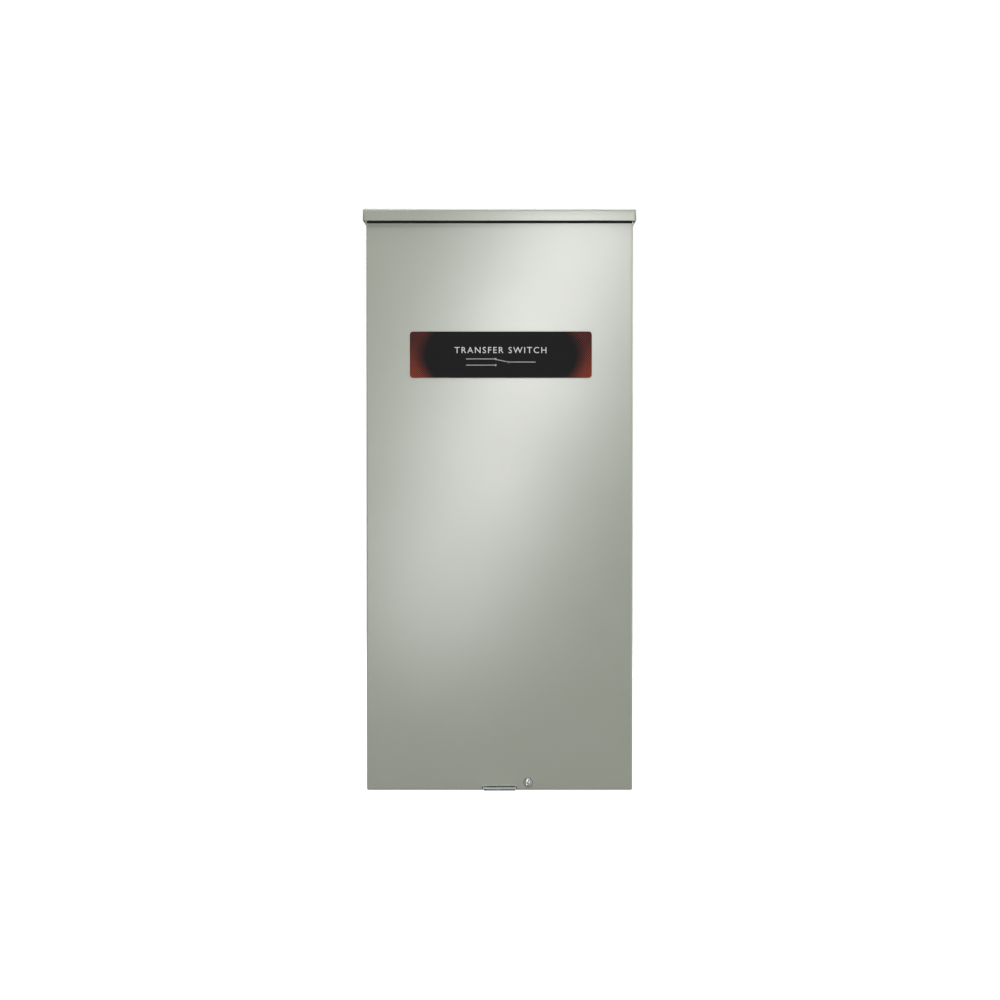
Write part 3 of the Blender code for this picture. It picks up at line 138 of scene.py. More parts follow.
def studio_floor():
    shape = bmesh.new()
    bmesh.ops.create_grid(shape, x_segments=2, y_segments=2, size=8)
    bmesh.ops.translate(shape, verts=shape.verts, vec=(0, 0, FLOOR_Z))
    mesh = bpy.data.meshes.new("studio_floor")
    shape.to_mesh(mesh)
    shape.free()
    floor = add_object("studio_floor", mesh)
    material = bpy.data.materials.new("studio_white")
    material.use_nodes = True
    tree = material.node_tree
    shader = tree.nodes["Principled BSDF"]
    shader.inputs["Base Color"].default_value = FLOOR_GREY
    shader.inputs["Roughness"].default_value = 0.9
    shader.inputs["Emission Color"].default_value = (1, 1, 1, 1)
    tree.links.new(backdrop_look(tree, FLOOR_GLOW), shader.inputs["Emission Strength"])
    mesh.materials.append(material)
    floor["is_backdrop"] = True


def soft_box(name, place, target, size, watts, roll=0.0):
    light = bpy.data.lights.new(name, "AREA")
    light.shape = "RECTANGLE"
    light.size, light.size_y = size
    light.energy = watts
    lamp = add_object(name, light)
    lamp.location = place
    away = Vector(place) - Vector(target)
    turn = away.to_track_quat("Z", "Y").to_matrix() @ Matrix.Rotation(roll, 3, "Z")
    lamp.rotation_euler = turn.to_euler()


SHEEN_SLANT = math.radians(20)
SHEEN_CENTRE = Vector((-0.02, 0, 0.03))
SHEEN_WATTS = (8.3, 7.9, 6.0, 4.6, 0.1)
SHEEN_STEP = 0.36
SHEEN_BOX = (0.17, 0.36)
FILL_TARGET = (0, -0.1, 0.1)
FILL_BOXES = (
    ("high_front_box", (-0.5, -1.2, 2.0), (0.8, 0.4), 15),
    ("low_left_box", (-1.2, -2.6, -0.1), (0.7, 0.9), 0.2),
    ("top_box", (0.2, -0.1, 2.2), (1.6, 0.7), 26),
    ("left_box", (-2.2, 0.3, 0.6), (1.2, 1.8), 22),
    ("right_box", (2.2, 0.0, 0.6), (1.2, 1.8), 34),
    ("back_box", (0.4, 2.6, 0.9), (1.8, 1.4), 40),
)

studio_floor()
world = bpy.data.worlds.new("studio")
world.use_nodes = True
surround = world.node_tree.nodes["Background"]
surround.inputs["Color"].default_value = (1, 1, 1, 1)
world.node_tree.links.new(backdrop_look(world.node_tree, SURROUND_LIGHT), surround.inputs["Strength"])
bpy.context.scene.world = world

# A lamp beside the camera shows on the cover halfway between the two, so the line on the cover is doubled.
down_the_line = Vector((-math.sin(SHEEN_SLANT), 0, -math.cos(SHEEN_SLANT)))
for number, watts in enumerate(SHEEN_WATTS):
    step = (number - (len(SHEEN_WATTS) - 1) / 2) * SHEEN_STEP
    middle = SHEEN_CENTRE * 2 - camera.location + down_the_line * step
    place = Vector((middle.x, camera.location.y, middle.z))
    soft_box(f"sheen_box_{number + 1}", place, place + Vector((0, 1, 0)), SHEEN_BOX, watts, SHEEN_SLANT)
for name, place, size, watts in FILL_BOXES:
    soft_box(name, place, FILL_TARGET, size, watts)

# %% [markdown]
# ## Finishes
# Every finish is a small tree of nodes on the piece's own coordinates. A few helpers keep the trees short:
# one adds a node, one adds noise, one mixes colours and one joins a height to the bump input. A number that
# is the same all over a piece is set on the shader's own socket, so that every exporter can read it.

# %% Node helpers


def shader_of(material):
    return material.node_tree.nodes["Principled BSDF"]


def new_finish(name, **constants):
    """A material whose constants are set on the shader's own sockets."""
    material = bpy.data.materials.new(name)
    material.use_nodes = True
    for key, value in constants.items():
        shader_of(material).inputs[key.replace("_", " ")].default_value = value
    return material


def node(material, kind, **values):
    """Adds a node and sets its properties and its input sockets by name."""
    made = material.node_tree.nodes.new(kind)
    for key, value in values.items():
        if hasattr(made, key):
            setattr(made, key, value)
        else:
            made.inputs[key.replace("_", " ")].default_value = value
    return made


def wire(material, source, target):
    material.node_tree.links.new(source, target)


def feed(material, source, name):
    """Wires a value to the shader's input of that name."""
    wire(material, source, shader_of(material).inputs[name])


def surface_place(material, stretch=(1, 1, 1)):
    """The piece's own coordinates, in metres, stretched along each axis."""
    place = node(material, "ShaderNodeTexCoord")
    mapping = node(material, "ShaderNodeMapping", Scale=stretch)
    wire(material, place.outputs["Object"], mapping.inputs["Vector"])
    return mapping.outputs["Vector"]


def noise(material, scale, detail=3.0, stretch=(1, 1, 1)):
    made = node(material, "ShaderNodeTexNoise", Scale=scale, Detail=detail, Roughness=0.5)
    wire(material, surface_place(material, stretch), made.inputs["Vector"])
    return made.outputs["Fac"]


def spread(material, value, low, high, to_low=0.0, to_high=1.0):
    """Maps a value from one range to another."""
    made = node(material, "ShaderNodeMapRange", From_Min=low, From_Max=high, To_Min=to_low, To_Max=to_high)
    wire(material, value, made.inputs["Value"])
    return made.outputs["Result"]


def calc(material, operation, first, second=0.0, third=0.0):
    made = node(material, "ShaderNodeMath", operation=operation)
    for socket, value in zip(made.inputs, (first, second, third)):
        if isinstance(value, (int, float)):
            socket.default_value = value
        else:
            wire(material, value, socket)
    return made.outputs[0]


def blend_colours(material, share, first, second):
    made = node(material, "ShaderNodeMix", data_type="RGBA")
    wire(material, share, made.inputs[0])
    for socket, colour in ((made.inputs[6], first), (made.inputs[7], second)):
        if isinstance(colour, tuple):
            socket.default_value = (*colour, 1)
        else:
            wire(material, colour, socket)
    return made.outputs[2]


def two_tone(material, cloud, first, second, low=0.35, high=0.65):
    """Lets the surface drift from one colour to another where the cloud goes from low to high."""
    share = spread(material, cloud, low, high)
    feed(material, blend_colours(material, share, first, second), "Base Color")


def raise_surface(material, height, strength, distance):
    bump = node(material, "ShaderNodeBump", Strength=strength, Distance=distance)
    wire(material, height, bump.inputs["Height"])
    feed(material, bump.outputs["Normal"], "Normal")


# %% [markdown]
# ### Powder coat
# The enclosure is aluminium sheet with a baked powder coat. Close up it has a fine orange-peel skin: soft
# bumps about two millimetres across, and in them a much finer grain. The colour wanders by a percent or two.

# %% Powder coat


def powder_coat():
    material = new_finish("powder_coat", Roughness=0.20, Specular_IOR_Level=0.5)
    peel = noise(material, 520, 2.0)
    grain = noise(material, 2100, 1.0)
    cloud = spread(material, noise(material, 9, 2.0), 0.35, 0.65)
    tone = blend_colours(material, cloud, (0.446, 0.474, 0.393), (0.463, 0.490, 0.409))
    speck = spread(material, grain, 0.3, 0.7, 0.0, 0.12)
    feed(material, blend_colours(material, speck, tone, (0.36, 0.38, 0.33)), "Base Color")
    skin = calc(material, "ADD", peel, spread(material, grain, 0, 1, 0, 0.35))
    raise_surface(material, skin, 0.3, 0.00011)
    return material


POWDER_COAT = powder_coat()

# %% [markdown]
# ### Metals
# Plated and rolled metals differ in the direction and size of their marks. One function makes them all: a
# base colour, a second colour that drifts through it, a roughness range, and scratches that are long noise,
# stretched along the direction in which the metal was rolled or drawn.

# %% Metals
ALL_WAYS = (1, 1, 1)


def worn_metal(name, colour, drift, roughness, scratch_stretch, scratch_scale=60, drift_scale=40):
    material = new_finish(name, Metallic=1.0)
    scratch = noise(material, scratch_scale, 3.0, scratch_stretch)
    two_tone(material, noise(material, drift_scale, 4.0), colour, drift, 0.35, 0.7)
    feed(material, spread(material, scratch, 0.3, 0.7, *roughness), "Roughness")
    raise_surface(material, scratch, 0.15, 0.0003)
    return material


def galvanised_sheet():
    """Hot-dip zinc: flat crystals, each with its own brightness."""
    material = new_finish("galvanised_sheet", Metallic=0.55)
    crystals = node(material, "ShaderNodeTexVoronoi", Scale=110.0, Randomness=1.0)
    wire(material, surface_place(material), crystals.inputs["Vector"])
    tone = node(material, "ShaderNodeSeparateColor")
    wire(material, crystals.outputs["Color"], tone.inputs[0])
    two_tone(material, tone.outputs[0], (0.60, 0.62, 0.63), (0.80, 0.82, 0.83), 0, 1)
    feed(material, spread(material, tone.outputs[1], 0, 1, 0.34, 0.52), "Roughness")
    raise_surface(material, noise(material, 300, 2.0), 0.12, 0.0003)
    return material


ZINC = worn_metal("bright_zinc", (0.92, 0.92, 0.90), (0.80, 0.81, 0.82), (0.26, 0.42), ALL_WAYS, 400, 90)
STEEL = worn_metal("plated_steel", (0.56, 0.57, 0.58), (0.44, 0.45, 0.47), (0.24, 0.42), (6, 1, 1), 120)
COPPER = worn_metal(
    "rolled_copper", (0.86, 0.47, 0.31), (0.66, 0.33, 0.20), (0.22, 0.44), (8, 8, 0.6), 120, 55
)
TINNED = worn_metal(
    "tin_plated_aluminium", (0.80, 0.81, 0.81), (0.68, 0.70, 0.71), (0.28, 0.46), (1, 1, 0.1), 260
)
SILVER = worn_metal(
    "contact_silver", (0.88, 0.86, 0.82), (0.62, 0.58, 0.54), (0.20, 0.45), ALL_WAYS, 700, 400
)
SPRING_STEEL = worn_metal(
    "spring_wire", (0.62, 0.61, 0.58), (0.50, 0.49, 0.47), (0.20, 0.34), ALL_WAYS, 500
)
GALVANISED = galvanised_sheet()

# %% [markdown]
# ### Mouldings
# Electrical plastics are mostly satin: the mould is spark-eroded and leaves a grain of a few tenths of a
# millimetre. Phenolic mouldings, such as the switch's base, also show paler flow marks of their filler.

# %% Mouldings


def moulding(name, colour, drift, roughness=0.45, grain=1500, lift=0.2, cloud=25):
    material = new_finish(name)
    fine = noise(material, grain, 2.0)
    two_tone(material, noise(material, cloud, 3.0), colour, drift)
    feed(material, spread(material, fine, 0.3, 0.7, roughness - 0.06, roughness + 0.08), "Roughness")
    raise_surface(material, fine, lift, 0.0002)
    return material


BLACK = moulding("black_moulding", (0.030, 0.031, 0.034), (0.042, 0.043, 0.047))
PHENOLIC = moulding("brown_phenolic", (0.150, 0.060, 0.030), (0.200, 0.090, 0.045), 0.38, 900, 0.15, 60)
WHITE = moulding("white_nylon", (0.74, 0.74, 0.70), (0.80, 0.79, 0.75))
RED = moulding("red_plastic", (0.60, 0.035, 0.020), (0.52, 0.028, 0.018), 0.35)
FIBRE = moulding("fuse_fibre", (0.78, 0.73, 0.58), (0.70, 0.64, 0.49), 0.5, 900)
PRINT_WHITE = moulding("printed_white", (0.80, 0.80, 0.79), (0.86, 0.86, 0.85), 0.45, 2500, 0.05)
SOLDER_MASK = moulding("solder_mask", (0.012, 0.135, 0.052), (0.016, 0.165, 0.065), 0.28, 300, 0.08)
RELAY_BLUE = moulding("relay_case", (0.020, 0.115, 0.330), (0.025, 0.135, 0.370), 0.40)


def clear_sheet():
    """Clear polycarbonate: see-through, with faint handling marks that show in its gloss."""
    material = new_finish("clear_polycarbonate", Base_Color=(0.90, 0.93, 0.95, 1), Alpha=0.22, IOR=1.58)
    marks = noise(material, 90, 5.0, (1, 1, 4))
    feed(material, spread(material, marks, 0.35, 0.75, 0.05, 0.22), "Roughness")
    return material


def coil_tape():
    """Glass-cloth tape wound over a coil, its turns lying across the axis."""
    material = new_finish("coil_tape", Roughness=0.48)
    turns = node(
        material, "ShaderNodeTexWave", wave_type="BANDS", bands_direction="Z", Scale=260.0, Distortion=0.6
    )
    wire(material, surface_place(material), turns.inputs["Vector"])
    two_tone(material, turns.outputs["Fac"], (0.36, 0.24, 0.04), (0.72, 0.54, 0.12), 0, 0.35)
    raise_surface(material, turns.outputs["Fac"], 0.5, 0.0004)
    return material


CLEAR = clear_sheet()
TAPE = coil_tape()
print("finishes:", len(bpy.data.materials))

# %% Give the frame's pieces their finishes
SLOT_FINISH = {
    "grey_green_paint": POWDER_COAT,
    "label_black": BLACK,
    "zinc": ZINC,
    "galvanised": GALVANISED,
    "black_moulding": BLACK,
    "brown_moulding": PHENOLIC,
    "white_moulding": WHITE,
    "red_plastic": RED,
    "copper": COPPER,
    "aluminium": TINNED,
    "steel": STEEL,
    "winding": TAPE,
    "board_green": SOLDER_MASK,
    "clear_plastic": CLEAR,
    "fuse_body": FIBRE,
    "wire_blue": BLACK,
}
SLOT_OF = {row["node"]: row["material_slot"] for row in frame["record"]["subparts"]}
for name, thing in frame["nodes"].items():
    thing.data.materials.clear()
    thing.data.materials.append(SLOT_FINISH[SLOT_OF[name]])


# %% [markdown]
# ## How pieces are made and placed
# A piece starts as a bmesh, gets its form from operators, and ends as an object at the origin whose place is
# in its mesh. It then rides on one body of the frame. Working on the bmesh before there is an object keeps
# every step repeatable, and small parts can be gathered into one bmesh, such as all the screws of a strip.
# Normals are weighted by area, so that a small rounded edge doesn't bend the shading of the face beside it.

# %% Making and placing
BODIES = frame["record"]["behaviour"]["bodies"]
BODY_OF = {name: body for body, names in BODIES.items() for name in names}
CREASE = 33
MERGE = 0.000001


def object_from(shape, name, material, crease=CREASE):
    """Ends a bmesh as an object at the origin, shaded smooth up to its creases."""
    mesh = bpy.data.meshes.new(name)
    shape.to_mesh(mesh)
    shape.free()
    mesh.materials.append(material)
    mesh.shade_smooth()
    mesh.set_sharp_from_angle(angle=math.radians(crease))
    return add_object(name, mesh)


def piece_from(shape, name, material, body="enclosure", crease=CREASE, facing=True):
    """Merges a bmesh, turns its faces outward and lets the piece ride on a body."""
    bmesh.ops.remove_doubles(shape, verts=shape.verts, dist=MERGE)
    if facing:
        bmesh.ops.recalc_face_normals(shape, faces=shape.faces)
    piece = object_from(shape, name, material, crease)
    weighted = piece.modifiers.new("flat_faces_stay_flat", "WEIGHTED_NORMAL")
    weighted.keep_sharp = True
    weighted.weight = 100
    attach(piece, body)
    return piece


def moved(shape, matrix):
    bmesh.ops.transform(shape, matrix=matrix, verts=shape.verts)
    return shape


def gather(shape, part, matrix=Matrix.Identity(4)):
    """Adds one small bmesh to a bigger one, at the place that the matrix gives."""
    carrier = bpy.data.meshes.new("carrier")
    moved(part, matrix).to_mesh(carrier)
    part.free()
    shape.from_mesh(carrier)
    bpy.data.meshes.remove(carrier)


def soften(shape, edges, offset, segments=2):
    bmesh.ops.bevel(
        shape,
        geom=edges,
        offset=offset,
        segments=segments,
        profile=0.5,
        affect="EDGES",
        material=-1,
        clamp_overlap=True,
    )


def box(low, high, edge=0.0, segments=2):
    shape = bmesh.new()
    bmesh.ops.create_cube(shape, size=1)
    bmesh.ops.scale(shape, vec=[b - a for a, b in zip(low, high)], verts=shape.verts)
    bmesh.ops.translate(shape, vec=[(a + b) / 2 for a, b in zip(low, high)], verts=shape.verts)
    if edge:
        soften(shape, shape.edges[:], edge, segments)
    return shape


def block(x, z, half_x, half_z, front, back, edge=0.0):
    """A box round a point (x, z) of the front view, between two depths."""
    return box((x - half_x, front, z - half_z), (x + half_x, back, z + half_z), edge)


def turned(profile, steps=32):
    """Spins a profile of (radius, height) pairs a full turn about Z."""
    shape = bmesh.new()
    corners = [shape.verts.new((radius, 0, height)) for radius, height in profile]
    edges = [shape.edges.new(pair) for pair in zip(corners, corners[1:])]
    bmesh.ops.spin(
        shape,
        geom=corners + edges,
        cent=(0, 0, 0),
        axis=(0, 0, 1),
        angle=2 * math.pi,
        steps=steps,
        use_merge=True,
    )
    bmesh.ops.remove_doubles(shape, verts=shape.verts, dist=MERGE)
    bmesh.ops.recalc_face_normals(shape, faces=shape.faces)
    return shape


def disc(radius, depth, edge=0.0, steps=24):
    """A short round bar that stands on z = 0, with its far rim rounded."""
    rim = [(radius, depth)]
    if edge:
        angles = (0, 0.52, 1.05, 1.57)
        rim = [(radius + edge * (math.cos(a) - 1), depth + edge * (math.sin(a) - 1)) for a in angles]
    return turned([(0, 0), (radius, 0), *rim, (0, depth)], steps)


def outward(x, y, z, turn=0.0):
    """A place whose own Z points out to the front of the enclosure."""
    facing = Matrix.Rotation(math.pi / 2, 4, "X") @ Matrix.Rotation(turn, 4, "Z")
    return Matrix.Translation((x, y, z)) @ facing


def along(start, end):
    """A place at start whose own Z points to end."""
    way = Vector(end) - Vector(start)
    return Matrix.Translation(start) @ way.to_track_quat("Z", "Y").to_matrix().to_4x4()


def front_of(name):
    """The middle of the front of a frame piece's box."""
    low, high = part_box(name)
    return Vector(((low.x + high.x) / 2, low.y, (low.z + high.z) / 2))


# %% [markdown]
# ## Carrying a frame piece over
# Many frame pieces have the right shape already and only lack the fine breaks on their edges that catch the
# light. A copy of the piece's triangles is merged, its flat faces are dissolved into single faces, and its
# sharp edges are bevelled. The frame's own piece stays as it was, hidden behind the finished one.

# %% Finished copies
MERGE_COPY = 0.00002
FLAT_ENOUGH = math.radians(1.5)
SHARP_EDGE = math.radians(50)


def finished(name, material=None, edge=0.0, segments=2, crease=CREASE, bends=None, bend=0.0):
    """A copy of a frame piece with softened edges. The edges that bends picks get the wider radius bend."""
    shape = bmesh.new()
    shape.from_mesh(frame["nodes"][name].data)
    bmesh.ops.remove_doubles(shape, verts=shape.verts, dist=MERGE_COPY)
    bmesh.ops.dissolve_limit(shape, angle_limit=FLAT_ENOUGH, verts=shape.verts[:], edges=shape.edges[:])
    if bends:
        shared = [e for e in shape.edges if len(e.link_faces) == 2]
        soften(shape, [e for e in shared if bends(*(v.co for v in e.verts))], bend, 5)
    shared = [e for e in shape.edges if len(e.link_faces) == 2]
    soften(shape, [e for e in shared if e.calc_face_angle() > SHARP_EDGE], edge, segments)
    slot = SLOT_OF[name]
    piece = piece_from(
        shape, name + "_finished", material or SLOT_FINISH[slot], BODY_OF[name], crease, False
    )
    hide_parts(name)


def outer_edges(name):
    """Picks the long edges of a piece's box that meet its front face, and its upright front corners."""
    low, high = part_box(name)

    def on_corner(a, b):
        sides = 0
        for axis in range(3):
            for limit in (low[axis], high[axis]):
                near = abs(a[axis] - limit) < 0.00003 and abs(b[axis] - limit) < 0.00003
                sides += near and not (axis == 1 and limit == high.y)
        return sides >= 2 and (a - b).length > 0.01

    return on_corner


for name in ("enclosure_shell", "bottom_endwall"):
    finished(name, edge=0.0003, crease=38)
for name, bend in (("hood", 0.0021), ("cover", 0.0014)):
    finished(name, edge=0.0003, crease=38, bends=outer_edges(name), bend=bend)


# %% [markdown]
# ## The front label
# The label is a polyester film printed on its back, so the ink never rubs off. Its middle is plain black. At
# both ends a fine red hatch runs in from the edge and stops at a curved border, so the black seems to bulge.
# The hatch, the border and the paler lower corners are all worked out from the distance to the middle.

# %% Label film
label_low, label_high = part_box("front_label")
LABEL_MIDDLE = (label_low + label_high) / 2
LABEL_HALF = (label_high - label_low) / 2
HATCH_PERIOD = 0.0031
HATCH_REACH = (0.0165, 0.0150)


def label_film():
    material = new_finish("label_film", Roughness=0.45, Specular_IOR_Level=0.10)

    def work(operation, *values):
        return calc(material, operation, *values)

    def hatch(way):
        return work("SINE", work("MULTIPLY", way, 2 * math.pi / HATCH_PERIOD))

    place = node(material, "ShaderNodeSeparateXYZ")
    wire(material, surface_place(material), place.inputs[0])
    across = work("SUBTRACT", place.outputs["X"], LABEL_MIDDLE.x)
    up = work("SUBTRACT", place.outputs["Z"], LABEL_MIDDLE.z)
    out = work("ABSOLUTE", across)
    from_end = work("SUBTRACT", LABEL_HALF.x, out)
    height = work("DIVIDE", up, LABEL_HALF.z)
    bulge = work("MULTIPLY_ADD", work("MULTIPLY", height, height), HATCH_REACH[1], HATCH_REACH[0])
    inside = spread(material, work("SUBTRACT", bulge, from_end), -0.0040, 0.0120)
    line = hatch(work("ADD", out, up))
    cross = hatch(work("SUBTRACT", out, up))
    low_half = spread(material, height, 0.6, -1.0)
    low_corner = work("MULTIPLY", low_half, spread(material, from_end, 0.04, 0.0))
    weave = work("MULTIPLY", spread(material, cross, -0.2, 1.0), low_corner)
    ink = work("MULTIPLY", work("MAXIMUM", spread(material, line, 0.0, 0.8), weave), inside)
    red = blend_colours(material, low_corner, (0.220, 0.038, 0.030), (0.50, 0.085, 0.035))
    grain = noise(material, 1700, 2.0)
    speck = spread(material, grain, 0.3, 0.7)
    black = blend_colours(material, speck, (0.0030, 0.0026, 0.0030), (0.0100, 0.0088, 0.0095))
    feed(material, blend_colours(material, ink, black, red), "Base Color")
    raise_surface(material, grain, 0.10, 0.0002)
    return material


finished("front_label", label_film(), edge=0.00012, segments=1)

# %% [markdown]
# The film is a little larger than its ink, and its clear rim shows as a thin pale line: a flat ring that lies
# on the paint round the label, with the label's own rounded corners. The ring is coloured a little paler than
# the paint, a painted highlight along the rim.

# %% Label rim
LABEL_CORNER = 0.004
RIM = 0.0006
UNDER_LABEL = 0.0001


def rounded_outline(half_x, half_z, corner, steps=6):
    points = []
    for sign_x, sign_z, start in ((1, 1, 0), (-1, 1, 90), (-1, -1, 180), (1, -1, 270)):
        for step in range(steps + 1):
            angle = math.radians(start + 90 * step / steps)
            x = sign_x * (half_x - corner) + corner * math.cos(angle)
            z = sign_z * (half_z - corner) + corner * math.sin(angle)
            points.append((x, z))
    return points


def flat_ring(outer, inner, front, back):
    """A ring between two outlines with the same number of points, from y = back to y = front."""
    shape = bmesh.new()
    loops = []
    for outline, depth in ((inner, back), (inner, front), (outer, front), (outer, back)):
        loops.append([shape.verts.new((x, depth, z)) for x, z in outline])
    for first, second in zip(loops, loops[1:] + loops[:1]):
        for step in range(len(first)):
            shape.faces.new((first[step - 1], first[step], second[step], second[step - 1]))
    return shape


rim = flat_ring(
    rounded_outline(LABEL_HALF.x + RIM, LABEL_HALF.z + RIM, LABEL_CORNER + RIM),
    rounded_outline(LABEL_HALF.x - UNDER_LABEL, LABEL_HALF.z - UNDER_LABEL, LABEL_CORNER),
    label_high.y - 0.00014,
    label_high.y + 0.00022,
)
moved(rim, Matrix.Translation((LABEL_MIDDLE.x, 0, LABEL_MIDDLE.z)))
# A paler tone of the paint for the label's rim: painted highlight.
RIM_PAINTED_HIGHLIGHT = moulding("rim_painted_highlight", (0.50, 0.52, 0.47), (0.56, 0.58, 0.53), 0.3)
piece_from(rim, "label_rim", RIM_PAINTED_HIGHLIGHT, "cover")

# %% [markdown]
# The words name the kind of device and nothing else. Text starts as a curve, becomes a mesh, and only then
# takes its place on the film. Below the words is the symbol for a changeover switch: two fixed contacts, one
# moving arm between them and the common line, drawn with thin flat bars.

# %% Label words and symbol
PRINT_THICK = 0.00006
PRINT_ABOVE = 0.00004
PRINT_GREY = moulding("printed_grey", (0.40, 0.40, 0.40), (0.47, 0.47, 0.47), 0.45, 2500, 0.05)
CAPITAL_SHARE = 0.7


def lettering(name, words, height, place, body="enclosure", spacing=1.0):
    """Flat white print that faces the front, with its capitals that high."""
    curve = bpy.data.curves.new(name, "FONT")
    curve.body = words
    curve.size = height / CAPITAL_SHARE
    curve.align_x = "CENTER"
    curve.align_y = "CENTER"
    curve.space_character = spacing
    curve.extrude = PRINT_THICK / 2
    curve.resolution_u = 3
    text = add_object(name + "_curve", curve)
    mesh = bpy.data.meshes.new_from_object(text.evaluated_get(bpy.context.evaluated_depsgraph_get()))
    bpy.data.objects.remove(text)
    bpy.data.curves.remove(curve)
    shape = bmesh.new()
    shape.from_mesh(mesh)
    bpy.data.meshes.remove(mesh)
    piece_from(moved(shape, outward(*place)), name, PRINT_WHITE, body)


def bar(start, end, width):
    """A flat printed line that faces the front, from (x, z) to (x, z), with its back on y = 0."""
    across, up = end[0] - start[0], end[1] - start[1]
    line = box((-width / 2, -PRINT_THICK, 0), (width / 2, 0, math.hypot(across, up)))
    lean = Matrix.Rotation(math.atan2(across, up), 4, "Y")
    return moved(line, Matrix.Translation((start[0], 0, start[1])) @ lean)


PRINT_PLANE = label_low.y - PRINT_ABOVE
WORDS_PLACE = (LABEL_MIDDLE.x, PRINT_PLANE, LABEL_MIDDLE.z + 0.0055)
SYMBOL_PLACE = Vector((LABEL_MIDDLE.x, PRINT_PLANE, LABEL_MIDDLE.z - 0.0095))
lettering("label_words", "TRANSFER SWITCH", 0.0080, WORDS_PLACE, "cover", 1.25)
symbol = bmesh.new()
for start, end in (
    ((-0.045, 0.004), (-0.008, 0.004)),
    ((-0.045, -0.004), (-0.008, -0.004)),
    ((-0.006, 0.0032), (0.010, 0)),
    ((0.010, 0), (0.045, 0)),
):
    gather(symbol, bar(start, end, 0.0011))
for x, z in ((-0.0068, 0.004), (-0.0068, -0.004), (0.010, 0)):
    gather(symbol, disc(0.0013, PRINT_THICK, steps=20), outward(x, 0, z))
moved(symbol, Matrix.Translation(SYMBOL_PLACE))
piece_from(symbol, "label_symbol", PRINT_GREY, "cover")
print("label:", [round(1000 * side, 1) for side in label_high - label_low], "mm")

# %% [markdown]
# ## Cover screw and hasp
# The one cover screw is a zinc-plated pan head with a straight slot. Its head is turned, so the carried-over
# piece only needs softer rims and a bright finish. The hasp is a tab of heavy galvanised sheet. Its outline
# and its padlock hole have the same small break on both faces.

# %% Screw, washer and hasp
finished("cover_screw", edge=0.00035, segments=3, crease=50)
finished("cover_screw_retainer", edge=0.0001, segments=1)
finished("screw_receiver", edge=0.0003)
finished("padlock_hasp", edge=0.0003)

# %% [markdown]
# A thin sponge washer under the head keeps rain out of the screw's hole. It is a little wider than the head,
# and its black ring is also painted shade: it draws the dark line of shade round the head. It turns with the
# screw and comes out with it.

# %% Washer under the cover screw, partly painted shade
# Black sponge for the real seals. The same black also draws painted shade: the ring round the cover screw and
# the strip under the hood's lip.
BLACK_SPONGE_AND_SHADE = moulding("sponge_and_painted_shade", (0.012, 0.012, 0.012), (0.020, 0.020, 0.020), 0.85, 700, 0.6)
SCREW = front_of("cover_screw")
cover_low, cover_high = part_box("cover")
washer = turned(
    [(0.0027, 0), (0.0057, 0), (0.0058, 0.00012), (0.0055, 0.00026), (0.0027, 0.00026), (0.0027, 0)], 40
)
moved(washer, outward(SCREW.x, cover_low.y - 0.00002, SCREW.z))
# The washer's black ring is partly painted shade round the screw head.
piece_from(washer, "cover_screw_washer_and_shade", BLACK_SPONGE_AND_SHADE, "cover_screw")

# %% [markdown]
# Shearing breaks through the zinc, so the front edge of the hasp is bare steel, duller than the sheet. Its
# colour is taken far darker than bare steel, as painted shade for the dark line along the edge. It is a thin
# strip of its own, because the zinc above and below it ends in a sharp line.

# %% Sheared edge of the hasp, darkened as painted shade
# Bare steel made nearly black: painted shade on the hasp's front edge.
SHEARED_AND_SHADED = worn_metal(
    "sheared_steel_and_painted_shade", (0.10, 0.10, 0.10), (0.055, 0.050, 0.048), (0.5, 0.7), (1, 1, 30), 500, 260
)
hasp_low, hasp_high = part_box("padlock_hasp")
hasp_edge = box(
    (hasp_low.x + 0.0012, hasp_low.y - 0.00012, hasp_low.z + 0.00002),
    (hasp_high.x - 0.0012, hasp_low.y + 0.0002, hasp_high.z - 0.0002),
    0.0001,
    1,
)
piece_from(hasp_edge, "hasp_front_painted_shade", SHEARED_AND_SHADED)

# %% [markdown]
# The hasp comes out through a notch in the cover. A sponge seal is glued behind the notch and leaves room for
# the hasp, so that neither rain nor daylight gets in beside it.

# %% Notch seal
NOTCH_HALF = 0.02275
SEAL_HALF = 0.027
SEAL_Y = (cover_low.y + 0.0017, cover_low.y + 0.0040)
seal = box(
    (-SEAL_HALF, SEAL_Y[0], hasp_high.z + 0.0013), (SEAL_HALF, SEAL_Y[1], hasp_high.z + 0.0040), 0.0003
)
for side in (-1, 1):
    edges = sorted((side * (hasp_high.x + 0.0002), side * (NOTCH_HALF - 0.0001)))
    gather(
        seal,
        box((edges[0], SEAL_Y[0], cover_low.z + 0.0002), (edges[1], SEAL_Y[1], hasp_high.z + 0.0018)),
    )
piece_from(seal, "notch_seal", BLACK_SPONGE_AND_SHADE, "cover")

# %% [markdown]
# A thin strip of the same black sponge finish lies across the top of the cover's face, just where the hood's
# lip
# hangs over it. It is painted shade: it draws the dark shadow line under the lip. It is thin enough to pass
# the lip when the cover swings out.

# %% Painted shade below the hood
hood_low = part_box("hood")[0]
# A black strip that draws the shadow under the hood's lip: painted shade.
lip_shadow_strip = box(
    (cover_low.x + 0.0012, cover_low.y - 0.00022, hood_low.z - 0.0031),
    (cover_high.x - 0.0012, cover_low.y, hood_low.z + 0.0009),
    0.00008,
)
piece_from(lip_shadow_strip, "hood_lip_painted_shade", BLACK_SPONGE_AND_SHADE, "cover")

# %% [markdown]
# The shell is folded from one blank, and its corners are closed by spot welds. Painted over, each weld is a
# shallow dimple about five millimetres across with a raised lip. A row of them runs down each rear flange and
# along the seams where the lower end wall is lapped into the shell.

